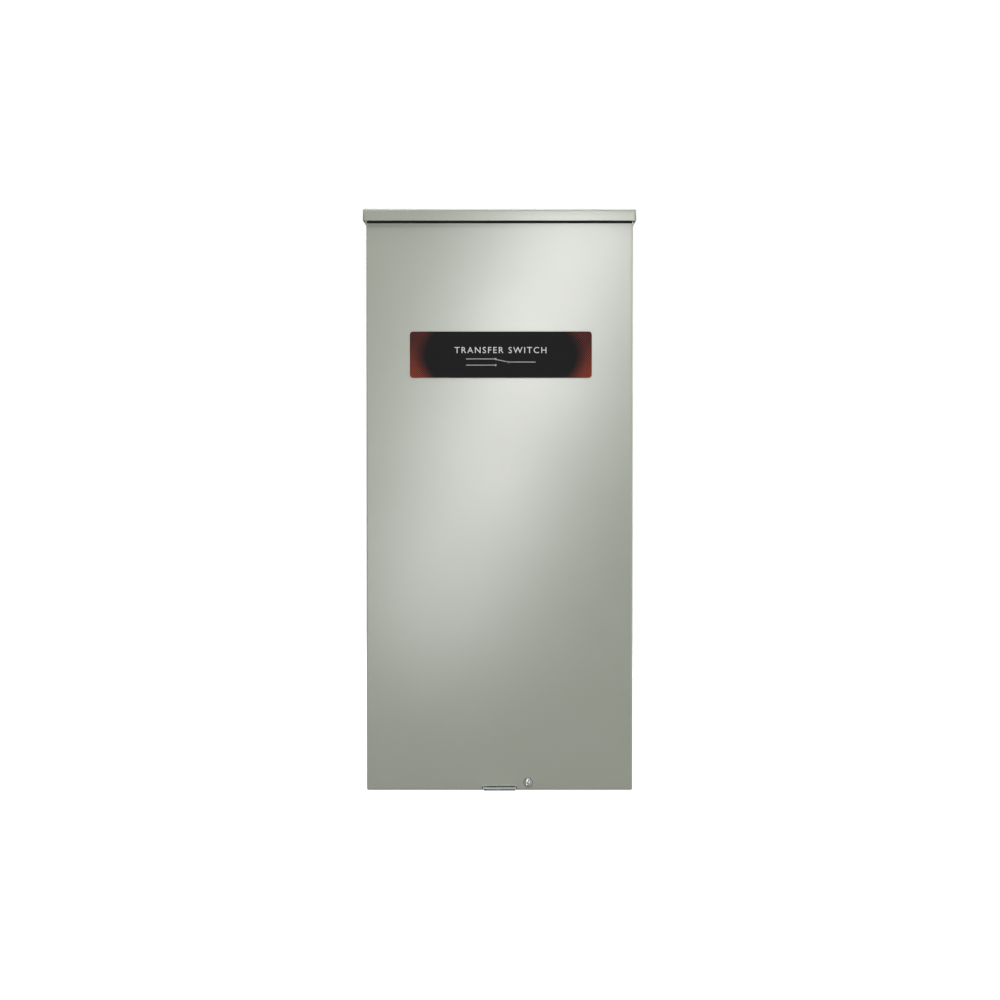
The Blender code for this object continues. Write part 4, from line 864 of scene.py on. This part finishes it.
# %% Spot welds
shell_low, shell_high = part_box("enclosure_shell")
WELD_PROFILE = (
    (0, 0.00008), (0.0012, 0.00008), (0.0020, 0.00032), (0.0026, 0.00024), (0.0031, -0.0001), (0, -0.0001)
)
REAR_FLANGE_Y = -0.012
END_SEAM_Z = shell_low.z + 0.0102
WELD_PLACES = [(REAR_FLANGE_Y, z) for z in (-0.345, -0.235, -0.115, 0.005, 0.125, 0.245, 0.335)]
WELD_PLACES += [(y, END_SEAM_Z) for y in (-0.030, -0.070, -0.110, -0.150)]
welds = bmesh.new()
for side in (-1, 1):
    turn = Matrix.Rotation(side * math.pi / 2, 4, "Y")
    for y, z in WELD_PLACES:
        gather(welds, turned(WELD_PROFILE, 20), Matrix.Translation((side * shell_high.x, y, z)) @ turn)
piece_from(welds, "spot_welds", POWDER_COAT)
print("weld marks:", 2 * len(WELD_PLACES))

# %% [markdown]
# Each knockout is sheared almost through and pressed back. A thin web of metal stays at the bottom of the
# ring-shaped cut, and that web is what keeps daylight out until an installer breaks it.

# %% Knockout webs
WALL_MIDDLE = 0.0008
WEB_HALF = 0.0008
WEB_HALF_THICK = 0.0002
SIDE_RADII = (0.0175, 0.0285)
CONDUIT_RADII = (0.0175, 0.030)
CONDUIT_Y = -0.0858
to_side = Matrix.Rotation(math.pi / 2, 4, "Y")
wall_x = shell_high.x - WALL_MIDDLE
end_z = shell_low.z + WALL_MIDDLE
knockouts = [
    (Matrix.Translation((side * wall_x, shell_low.y / 2, shell_low.z + 0.075)) @ to_side, SIDE_RADII)
    for side in (-1, 1)
]
knockouts.append((Matrix.Translation((0, CONDUIT_Y - 0.010, end_z)), (0.0255, 0.038)))
knockouts += [(Matrix.Translation((x, CONDUIT_Y, end_z)), CONDUIT_RADII) for x in (-0.098, 0.098)]
knockouts.append((outward(0, -WALL_MIDDLE, shell_low.z + 0.052), (0.022,)))
webs = bmesh.new()
for place, radii in knockouts:
    for radius in radii:
        near, far = radius - WEB_HALF, radius + WEB_HALF
        low, high = -WEB_HALF_THICK, WEB_HALF_THICK
        gather(webs, turned([(near, low), (far, low), (far, high), (near, high), (near, low)], 64), place)
piece_from(webs, "knockout_webs", POWDER_COAT)
print("knockout rings:", sum(len(radii) for place, radii in knockouts))

# %% [markdown]
# ## Behind the cover: panel, breaker and switch base
# The devices stand on a galvanised panel that is screwed to four feet on the shell's back. The breaker and
# the switch's base are compression mouldings, so every outer edge is rounded by half a millimetre or more.

# %% Panel and mouldings
finished("mounting_panel", edge=0.00025)
for name, edge in (
    ("breaker_base", 0.0008), ("breaker_cover", 0.0010), ("breaker_toggle", 0.0008),
    ("switch_base", 0.0006), ("line_barrier", 0.0003), ("neutral_insulator", 0.0006),
    ("fuse_block", 0.0006), ("relay_base", 0.0006), ("terminal_strip", 0.0004),
    ("utility_limit_switch", 0.0005), ("generator_limit_switch", 0.0005),
    ("utility_limit_button", 0.0003), ("generator_limit_button", 0.0003), ("manual_handle", 0.0010),
    ("drive_shaft", 0.0003), ("solenoid_frame", 0.0003), ("plunger", 0.0003),
    ("relay_armature", 0.0001), ("bonding_jumper", 0.0004), ("ground_bar", 0.0004),
    ("neutral_bar", 0.0005), ("relay_cover", 0.0006),
):
    finished(name, edge=edge)


def hex_screw(across=0.008, height=0.0045, washer=0.0058):
    """A hexagon washer-head screw that stands on z = 0, with rounded edges."""
    shape = turned([(0, 0), (washer, 0), (washer, 0.0008), (washer - 0.0004, 0.0012), (0, 0.0012)], 28)
    corner = across / 2 / math.cos(math.pi / 6)
    head = bmesh.new()
    bmesh.ops.create_cone(head, segments=6, radius1=corner, radius2=corner, depth=height, cap_ends=True)
    bmesh.ops.translate(head, vec=(0, 0, height / 2 + 0.0006), verts=head.verts)
    soften(head, head.edges[:], 0.0004)
    gather(shape, head)
    return shape


SCREW_SLOT = 0.0008


def slotted_screw(radius, height, steps=24):
    """A round head that stands on z = 0, as two half heads with the slot between them and a core below."""
    shape = bmesh.new()
    for side in (0, math.pi):
        half = disc(radius, height, min(height * 0.4, 0.0005), steps)
        bmesh.ops.bisect_plane(
            half,
            geom=half.verts[:] + half.edges[:] + half.faces[:],
            plane_co=(0, SCREW_SLOT / 2, 0),
            plane_no=(0, 1, 0),
            clear_inner=True,
        )
        bmesh.ops.holes_fill(half, edges=[e for e in half.edges if e.is_boundary], sides=0)
        gather(shape, half, Matrix.Rotation(side, 4, "Z"))
    gather(shape, disc(radius - 0.0001, height - SCREW_SLOT, 0, steps))
    return shape


panel_low, panel_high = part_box("mounting_panel")
screws = bmesh.new()
for x in (panel_low.x + 0.018, panel_high.x - 0.018):
    for z in (panel_low.z + 0.012, panel_high.z - 0.012):
        gather(screws, hex_screw(), outward(x, panel_low.y, z))
piece_from(screws, "panel_screws", ZINC)

# %% [markdown]
# The breaker's cover is held by four countersunk screws. Moulded ribs part its two poles, and a small red
# button trips it for a test. The printed marks are the plain ON and OFF that any breaker carries.

# %% Breaker details
front_low, front_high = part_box("breaker_cover")
BREAKER = front_of("breaker_cover")
SUNK = BREAKER.y + 0.001
screws = bmesh.new()
for x in (front_low.x + 0.008, front_high.x - 0.008):
    for z in (front_low.z + 0.010, front_high.z - 0.010):
        gather(screws, slotted_screw(0.0036, 0.0009), outward(x, BREAKER.y + 0.0001, z, 0.6 + 40 * x))
piece_from(screws, "breaker_cover_screws", STEEL)

ribs = bmesh.new()
for x in (-0.0335, -0.0300, 0.0300, 0.0335):
    for z in (front_low.z + 0.033, front_high.z - 0.033):
        gather(ribs, block(BREAKER.x + x, z, 0.0008, 0.009, BREAKER.y - 0.0008, SUNK, 0.0005))
piece_from(ribs, "breaker_ribs", BLACK)
button = block(BREAKER.x + 0.025, BREAKER.z, 0.0025, 0.004, BREAKER.y - 0.0014, SUNK, 0.0007)
piece_from(button, "breaker_trip_button", RED)
for name, words, z in (("on", "ON", 0.0255), ("off", "OFF", -0.0265)):
    place = (BREAKER.x, BREAKER.y - PRINT_ABOVE, BREAKER.z + z)
    lettering("breaker_mark_" + name, words, 0.0042, place)
plate = block(
    BREAKER.x, front_high.z - 0.0125, 0.026, 0.006, BREAKER.y - 0.0003, BREAKER.y + 0.0005, 0.0002
)
piece_from(plate, "breaker_rating_plate", PRINT_GREY)

# %% [markdown]
# ## Buses, lugs and contacts
# The buses are punched from hard copper strip. Each lug is a block of tin-plated aluminium with a square wire
# hole and a set screw with a hexagon socket. Silver tips are brazed to the moving arms and to the fixed
# fingers, because copper alone would weld itself shut under a fault current.

# %% Buses and lugs
STRAP_THICK = 0.003
BOLT_HEIGHTS = {"utility_bus": 0.132, "generator_bus": -0.062, "load_bus": -0.120}
LUGS = ("line_lug", "generator_lug", "load_lug")
for number in (1, 2):
    for name in BOLT_HEIGHTS:
        finished(f"{name}_{number}", edge=0.0003)
    finished(f"moving_contact_{number}", edge=0.0003, crease=45)
    for name in LUGS:
        finished(f"{name}_{number}", edge=0.0005)
        finished(f"{name}_{number}_screw", edge=0.0004)


def socket_mouth(radius=0.0024, depth=0.00045):
    """The dark hexagon of a socket, drawn as a shallow cup that stands on z = 0."""
    shape = bmesh.new()
    bmesh.ops.create_cone(shape, segments=6, radius1=radius, radius2=radius, depth=depth, cap_ends=True)
    bmesh.ops.translate(shape, vec=(0, 0, depth / 2), verts=shape.verts)
    top = max(shape.faces, key=lambda face: face.calc_center_median().z)
    bmesh.ops.inset_individual(shape, faces=[top], thickness=0.0003, depth=0)
    bmesh.ops.translate(shape, vec=(0, 0, -depth * 0.7), verts=top.verts)
    return shape


sockets = bmesh.new()
bolts = bmesh.new()
for number in (1, 2):
    for name in LUGS:
        gather(sockets, socket_mouth(), outward(*front_of(f"{name}_{number}_screw"), 0.3 * number))
    for name, z in BOLT_HEIGHTS.items():
        low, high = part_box(f"{name}_{number}")
        place = outward((low.x + high.x) / 2, high.y - STRAP_THICK, z)
        gather(bolts, hex_screw(0.007, 0.0035, 0.0052), place)
piece_from(sockets, "lug_sockets", STEEL)
piece_from(bolts, "bus_bolts", ZINC)

# %% [markdown]
# The arm stands 25 degrees up from level at rest, and as far down after the transfer. Its tips sit near its
# end, on the upper face for the utility and on the lower face for the generator. Each fixed finger carries
# the matching tip.

# %% Contact tips
SHAFT = (-0.060, 0.010)
TILT = math.radians(25)
TIP_REACH = 0.033
TIP_RADIUS = 0.0042
TIP_DEPTH = 0.00012
ARM_FACE = 0.0025
FINGER_FACE = 0.0028
POLES = (0.044, 0.096)


def beside_arm(x, above):
    """A point at the tips, that far above the arm's middle plane at rest."""
    y = SHAFT[0] - TIP_REACH * math.cos(TILT) + above * math.sin(TILT)
    return Vector((x, y, SHAFT[1] + TIP_REACH * math.sin(TILT) + above * math.cos(TILT)))


up_arm = Vector((0, math.sin(TILT), math.cos(TILT)))
arm_tips = bmesh.new()
finger_tips = bmesh.new()
for x in POLES:
    for side in (1, -1):
        start = beside_arm(x, side * ARM_FACE)
        gather(arm_tips, disc(TIP_RADIUS, TIP_DEPTH), along(start, start + side * up_arm))
        start = beside_arm(x, FINGER_FACE)
        end = start - up_arm
        if side < 0:
            start.z = 2 * SHAFT[1] - start.z
            end.z = 2 * SHAFT[1] - end.z
        gather(finger_tips, disc(TIP_RADIUS, TIP_DEPTH), along(start, end))
piece_from(arm_tips, "moving_contact_tips", SILVER, "transfer_drive")
piece_from(finger_tips, "fixed_contact_tips", SILVER)

# %% [markdown]
# ## Coils
# A coil is a moulded bobbin with two flanges, enamelled wire wound on it in layers, and glass-cloth tape over
# the wire. The winding is spun from a profile with one small round per turn, so its outline is the wire's.

# %% Bobbins and windings
COIL_WIRE = worn_metal(
    "enamelled_wire", (0.55, 0.20, 0.06), (0.42, 0.13, 0.04), (0.18, 0.30), ALL_WAYS, 400, 90
)
CORE = 0.0100
FLANGE = 0.0020
FLANGE_EDGE = 0.0005
WINDING_GAP = 0.0003
COIL_TURNS = 18
TAPE_HALF = 0.0004
TAPE_INSET = 0.012


def coil(name):
    low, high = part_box(name)
    radius = (high.x - low.x) / 2
    length = high.z - low.z
    place = Matrix.Translation(((low.x + high.x) / 2, (low.y + high.y) / 2, low.z))
    half = [(CORE, 0), (radius - FLANGE_EDGE, 0), (radius, FLANGE_EDGE), (radius, FLANGE)]
    half.append((CORE + 0.001, FLANGE))
    bobbin = turned([*half, *((r, length - h) for r, h in reversed(half)), half[0]], 40)
    piece = piece_from(moved(bobbin, place), name + "_bobbin", BLACK)
    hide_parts(name)

    first = FLANGE + WINDING_GAP
    pitch = (length - 2 * first) / COIL_TURNS
    outer = radius - 0.0018
    profile = [(CORE + 0.0012, first)]
    for turn in range(COIL_TURNS):
        middle = first + pitch * (turn + 0.5)
        for angle in (math.radians(36 * step) for step in (-2, -1, 0, 1, 2)):
            bulge = pitch / 2 * (math.cos(angle) - 1)
            profile.append((outer + bulge, middle + pitch / 2 * math.sin(angle)))
    profile.append((CORE + 0.0012, length - first))
    winding = moved(turned(profile, 40), place)
    piece_from(winding, name + "_winding", COIL_WIRE, crease=60)
    ends = (TAPE_INSET, length - TAPE_INSET)
    profile = [(outer - TAPE_HALF, ends[0]), (outer + TAPE_HALF, ends[0])]
    profile += [(outer + TAPE_HALF, ends[1]), (outer - TAPE_HALF, ends[1])]
    piece_from(moved(turned(profile, 40), place), name + "_tape", TAPE)


for name in ("utility_coil", "generator_coil"):
    coil(name)


# %% [markdown]
# ## Over-centre spring
# The spring runs from a post on the frame to the crank pin, and it must stretch and swing as the shaft turns.
# Its wire is swept along a helix with a hook at each end.

# %% Spring


def sweep(points, radius, sides=8):
    """A round wire: a disc extruded from point to point. It turns with the path and never twists.

    Extruding leaves the old disc inside the wire, so each is deleted but the first, which closes the end.
    """
    shape = bmesh.new()
    points = [Vector(point) for point in points]
    heading = (points[1] - points[0]).normalized()
    side = heading.orthogonal().normalized()
    for index, point in enumerate(points):
        ahead = (points[min(index + 1, len(points) - 1)] - points[max(index - 1, 0)]).normalized()
        side = heading.rotation_difference(ahead) @ side
        heading = ahead
        place = Matrix((side.cross(heading), side, heading)).transposed().to_4x4()
        place.translation = point
        if index:
            made = bmesh.ops.extrude_face_region(shape, geom=[end])["geom"]
            if index > 1:
                bmesh.ops.delete(shape, geom=[end], context="FACES_ONLY")
            end = next(part for part in made if isinstance(part, bmesh.types.BMFace))
            bmesh.ops.transform(shape, matrix=place @ last.inverted(), verts=end.verts)
        else:
            bmesh.ops.create_circle(shape, cap_ends=True, segments=sides, radius=radius, matrix=place)
            end = shape.faces[:][0]
        last = place
    return shape


def spring_points(start, end, radius, turns, hook):
    """A helix between two pins, with a ring round each pin."""
    length = (end - start).length
    circle = [math.pi * step / 8 for step in range(17)]
    first, last = hook * 1.6, length - hook * 1.6
    points = [(-hook * math.sin(angle), 0, hook * math.cos(angle)) for angle in circle]
    for step in range(turns * 16 + 1):
        angle = math.pi * step / 8
        rise = first + (last - first) * step / (turns * 16)
        points.append((radius * math.cos(angle), radius * math.sin(angle), rise))
    points += [(hook * math.sin(angle), 0, length - hook * math.cos(angle)) for angle in circle]
    return [along(start, end) @ Vector(point) for point in points]


SPRING_X = -0.0445
SPRING_POST = Vector((SPRING_X, -0.0300, 0.0100))
CRANK_PIN = Vector((SPRING_X, -0.0736, 0.0163))
spring = sweep(spring_points(SPRING_POST, CRANK_PIN, 0.0031, 16, 0.0026), 0.00055, 7)
bmesh.ops.recalc_face_normals(spring, faces=spring.faces)
piece = object_from(spring, "overcentre_spring_wire", SPRING_STEEL, 60)
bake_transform(piece)
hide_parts("overcentre_spring")

# %% [markdown]
# ## Control side
# The load management board is a printed circuit board on four standoffs. It carries four relays in blue
# cases, one controller chip with gull-wing leads, electrolytic capacitors, a row of plug-in terminals and
# three indicator lamps. Small parts are gathered by finish, since each finish is one piece.

# %% Load management board
board_low, board_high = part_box("load_management_board")
BOARD_FRONT = board_high.y - 0.0156
BOARD_THICK = 0.0016
STANDOFF = 0.006
BIG_PARTS = 0.0085
board = box(
    (board_low.x, BOARD_FRONT, board_low.z), (board_high.x, BOARD_FRONT + BOARD_THICK, board_high.z), 0.0002
)
piece = piece_from(board, "board_plate", SOLDER_MASK)
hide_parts("load_management_board")


def on_board(x, z, half_x, half_z, rise, edge=0.0):
    """A box that stands on the board, at a point measured from the board's lower left corner."""
    return block(
        board_low.x + x, board_low.z + z, half_x, half_z, BOARD_FRONT - rise, BOARD_FRONT, edge
    )


def board_place(x, z, rise=0.0, turn=0.0):
    return outward(board_low.x + x, BOARD_FRONT - rise, board_low.z + z, turn)


posts, cases, black_parts, metal_parts, white_parts, lamps = (bmesh.new() for _ in range(6))
for x in (board_low.x + STANDOFF, board_high.x - STANDOFF):
    for z in (board_low.z + STANDOFF, board_high.z - STANDOFF):
        gather(posts, disc(0.003, board_high.y - BOARD_FRONT - BOARD_THICK), outward(x, board_high.y, z))
        gather(metal_parts, slotted_screw(0.0026, 0.0018), outward(x, BOARD_FRONT, z, 30 * x))
for step in range(4):
    gather(cases, on_board(0.011 + 0.016 * step, 0.043, 0.0062, 0.013, 0.012, 0.0006))
chip = block(
    board_low.x + 0.036, board_low.z + 0.076, 0.009, 0.009, BOARD_FRONT - 0.0026, BOARD_FRONT - 0.0002, 0.0003
)
gather(black_parts, chip)
for step in range(10):
    gather(metal_parts, on_board(0.036, 0.06885 + 0.00167 * step, 0.0108, 0.00035, 0.0012))
for x, z in ((0.008, 0.091), (0.019, 0.091), (0.008, 0.078)):
    gather(black_parts, disc(0.0042, 0.0090, 0.0006), board_place(x, z))
    gather(metal_parts, disc(0.0035, 0.0002), board_place(x, z, 0.0090))
for step in range(8):
    x = 0.012 + 0.0076 * step
    gather(white_parts, on_board(x, 0.0155, 0.0035, 0.0055, BIG_PARTS, 0.0004))
    turn = 60 * (board_low.x + x - 0.0035)
    gather(metal_parts, slotted_screw(0.0022, 0.0010, steps=18), board_place(x, 0.0165, BIG_PARTS, turn))
for step in range(3):
    gather(lamps, disc(0.0015, 0.0034, 0.0012, 16), board_place(0.050 + 0.006 * step, 0.094))
for step in range(9):
    x = 0.007 + 0.0072 * step
    gather(black_parts, on_board(x, 0.02525, 0.0015, 0.00075, 0.0008))
    gather(metal_parts, on_board(x, 0.02525, 0.0020, 0.00085, 0.0006))
    gather(black_parts, on_board(x, 0.06025, 0.0015, 0.00075, 0.0008))
for shape, name, material, slot in (
    (posts, "board_standoffs", WHITE, "white_moulding"),
    (cases, "board_relays", RELAY_BLUE, "black_moulding"),
    (black_parts, "board_black_parts", BLACK, "black_moulding"),
    (metal_parts, "board_metal_parts", TINNED, "aluminium"),
    (white_parts, "board_terminals", WHITE, "white_moulding"),
    (lamps, "board_lamps", RED, "red_plastic"),
):
    piece_from(shape, name, material)


# %% [markdown]
# The three control fuses are glass-fibre tubes with pressed metal caps. Spring clips hold them by the caps.
# Each way of the terminal strip has two screws with square clamps, one for the panel's wire and one for the
# installer's.

# %% Fuses and terminals
CAP_WALL = 0.00015
CAP_LENGTH = 0.0090
caps = bmesh.new()
clips = bmesh.new()
for number in (1, 2, 3):
    finished(f"fuse_{number}", edge=0.0004, crease=40)
    low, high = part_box(f"fuse_{number}")
    x, y = (low.x + high.x) / 2, (low.y + high.y) / 2
    radius = (high.x - low.x) / 2
    for end, way in ((low.z, 1), (high.z, -1)):
        profile = [(0, -CAP_WALL), (radius - 0.0006, -CAP_WALL), (radius + CAP_WALL, 0.0005)]
        profile += [(radius + CAP_WALL, CAP_LENGTH), (radius - 0.0002, CAP_LENGTH)]
        profile += [(radius - 0.0002, 0.0003), (0, 0.0003)]
        turn = Matrix.Rotation(0 if way > 0 else math.pi, 4, "X")
        gather(caps, turned(profile, 28), Matrix.Translation((x, y, end)) @ turn)
        for side in (-1, 1):
            beside = x + side * (radius + 0.0006)
            clip = block(beside, end + way * CAP_LENGTH / 2, 0.0004, 0.0030, y - 0.0030, y + 0.0075, 0.0003)
            gather(clips, clip)
piece_from(caps, "fuse_caps", TINNED)
piece_from(clips, "fuse_clips", COPPER)

strip_low, strip_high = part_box("terminal_strip")
CLAMP_Y = strip_low.y + 0.0054
WAYS = 8
WAY_PITCH = 0.0098
screws = bmesh.new()
clamps = bmesh.new()
for way in range(WAYS):
    x = (strip_low.x + strip_high.x) / 2 + (way - (WAYS - 1) / 2) * WAY_PITCH
    for z in (strip_low.z + 0.0065, strip_high.z - 0.0065):
        gather(clamps, block(x, z, 0.0034, 0.0040, CLAMP_Y, CLAMP_Y + 0.0007, 0.0002))
        gather(screws, slotted_screw(0.0026, 0.0016, steps=18), outward(x, CLAMP_Y, z, 7 * way + 40 * z))
piece_from(screws, "terminal_strip_screws", ZINC)
piece_from(clamps, "terminal_strip_clamps", TINNED)

# %% [markdown]
# The neutral and ground bars take one wire per hole, each under its own screw. The wires of the household
# circuits aren't part of this piece, so the holes are empty.

# %% Bar screws
BAR_HOLES = 8
BAR_PITCH = 0.0105
screws = bmesh.new()
for name, first, radius in (("neutral_bar", 0.012, 0.0036), ("ground_bar", 0.028, 0.0030)):
    low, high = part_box(name)
    for step in range(BAR_HOLES):
        place = outward((low.x + high.x) / 2, low.y, low.z + first + BAR_PITCH * step, 2.1 * step + 0.4)
        gather(screws, slotted_screw(radius, 0.0016), place)
piece_from(screws, "bar_screws", ZINC)

# %% [markdown]
# The control wires leave the terminal strip as a bundle of five and are held by two nylon ties. Each wire is
# swept along the same path with its own offset, so the bundle stays together round the bends.

# %% Control wires
harness_low, harness_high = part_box("control_harness")
HARNESS_Y = (harness_low.y + harness_high.y) / 2
WIRE_COLOURS = {
    "blue": (0.015, 0.050, 0.230),
    "black": (0.014, 0.014, 0.015),
    "red": (0.420, 0.022, 0.018),
    "white": (0.700, 0.700, 0.670),
    "yellow": (0.620, 0.420, 0.030),
}
BUNDLE = 0.0019
# Each stop is x, z, how closely the wires are bundled there, and how far the bundle has turned to run level.
HARNESS_STOPS = (
    (-0.106, 0.0617, 0.00, 0.35),
    (-0.106, 0.0477, 0.45, 0.35),
    (-0.102, 0.0277, 1.00, 0.35),
    (-0.090, 0.0137, 1.00, 1.00),
    (-0.076, 0.0097, 1.00, 1.00),
    (-0.0635, 0.0097, 1.00, 1.00),
)


def smooth_path(stops, steps=8):
    """A Catmull-Rom curve through the stops."""
    stops = [Vector(stop) for stop in stops]
    ends = [stops[0] * 2 - stops[1], *stops, stops[-1] * 2 - stops[-2]]
    path = []
    for a, b, c, d in zip(ends, ends[1:], ends[2:], ends[3:]):
        for t in (step / steps for step in range(steps)):
            bend = (2 * a - 5 * b + 4 * c - d) * t**2 + (3 * b - a - 3 * c + d) * t**3
            path.append(0.5 * (2 * b + (c - a) * t + bend))
    return [*path, stops[-1]]


for number, (colour_name, colour) in enumerate(WIRE_COLOURS.items()):
    angle = 2 * math.pi * number / len(WIRE_COLOURS)
    y = HARNESS_Y + BUNDLE * math.sin(angle)
    fan = (number - 2) * WAY_PITCH
    stops = []
    for x, z, share, turn in HARNESS_STOPS:
        side = BUNDLE * math.cos(angle) * share
        stops.append((x + fan * (1 - share) + side * (1.4 - turn), y, z + side * turn))
    darker = tuple(0.8 * channel for channel in colour)
    material = moulding("wire_" + colour_name, colour, darker, 0.36, 1200, 0.06)
    cable = sweep(smooth_path(stops), 0.0010, 10)
    piece_from(cable, "control_wire_" + colour_name, material)
ties = bmesh.new()
for x, z, turn in ((-0.1035, 0.0330, 0.2), (-0.0860, 0.0120, 1.25)):
    profile = [(0.0029, -0.0012), (0.0036, -0.0012), (0.0036, 0.0012), (0.0029, 0.0012)]
    tie = turned([*profile, profile[0]], 24)
    gather(tie, box((0.0026, -0.0020, -0.0018), (0.0050, 0.0020, 0.0018), 0.0004))
    gather(ties, tie, Matrix.Translation((x, HARNESS_Y, z)) @ Matrix.Rotation(-turn, 4, "Y"))
tie_piece = piece_from(ties, "harness_ties", WHITE)
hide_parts("control_harness")
print("wires:", list(WIRE_COLOURS))

# %% Sizes and a last check on them
low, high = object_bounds()
print("grown by in mm:", [round(1000 * g, 2) for g in (*(cad_low - low), *(high - cad_high))])
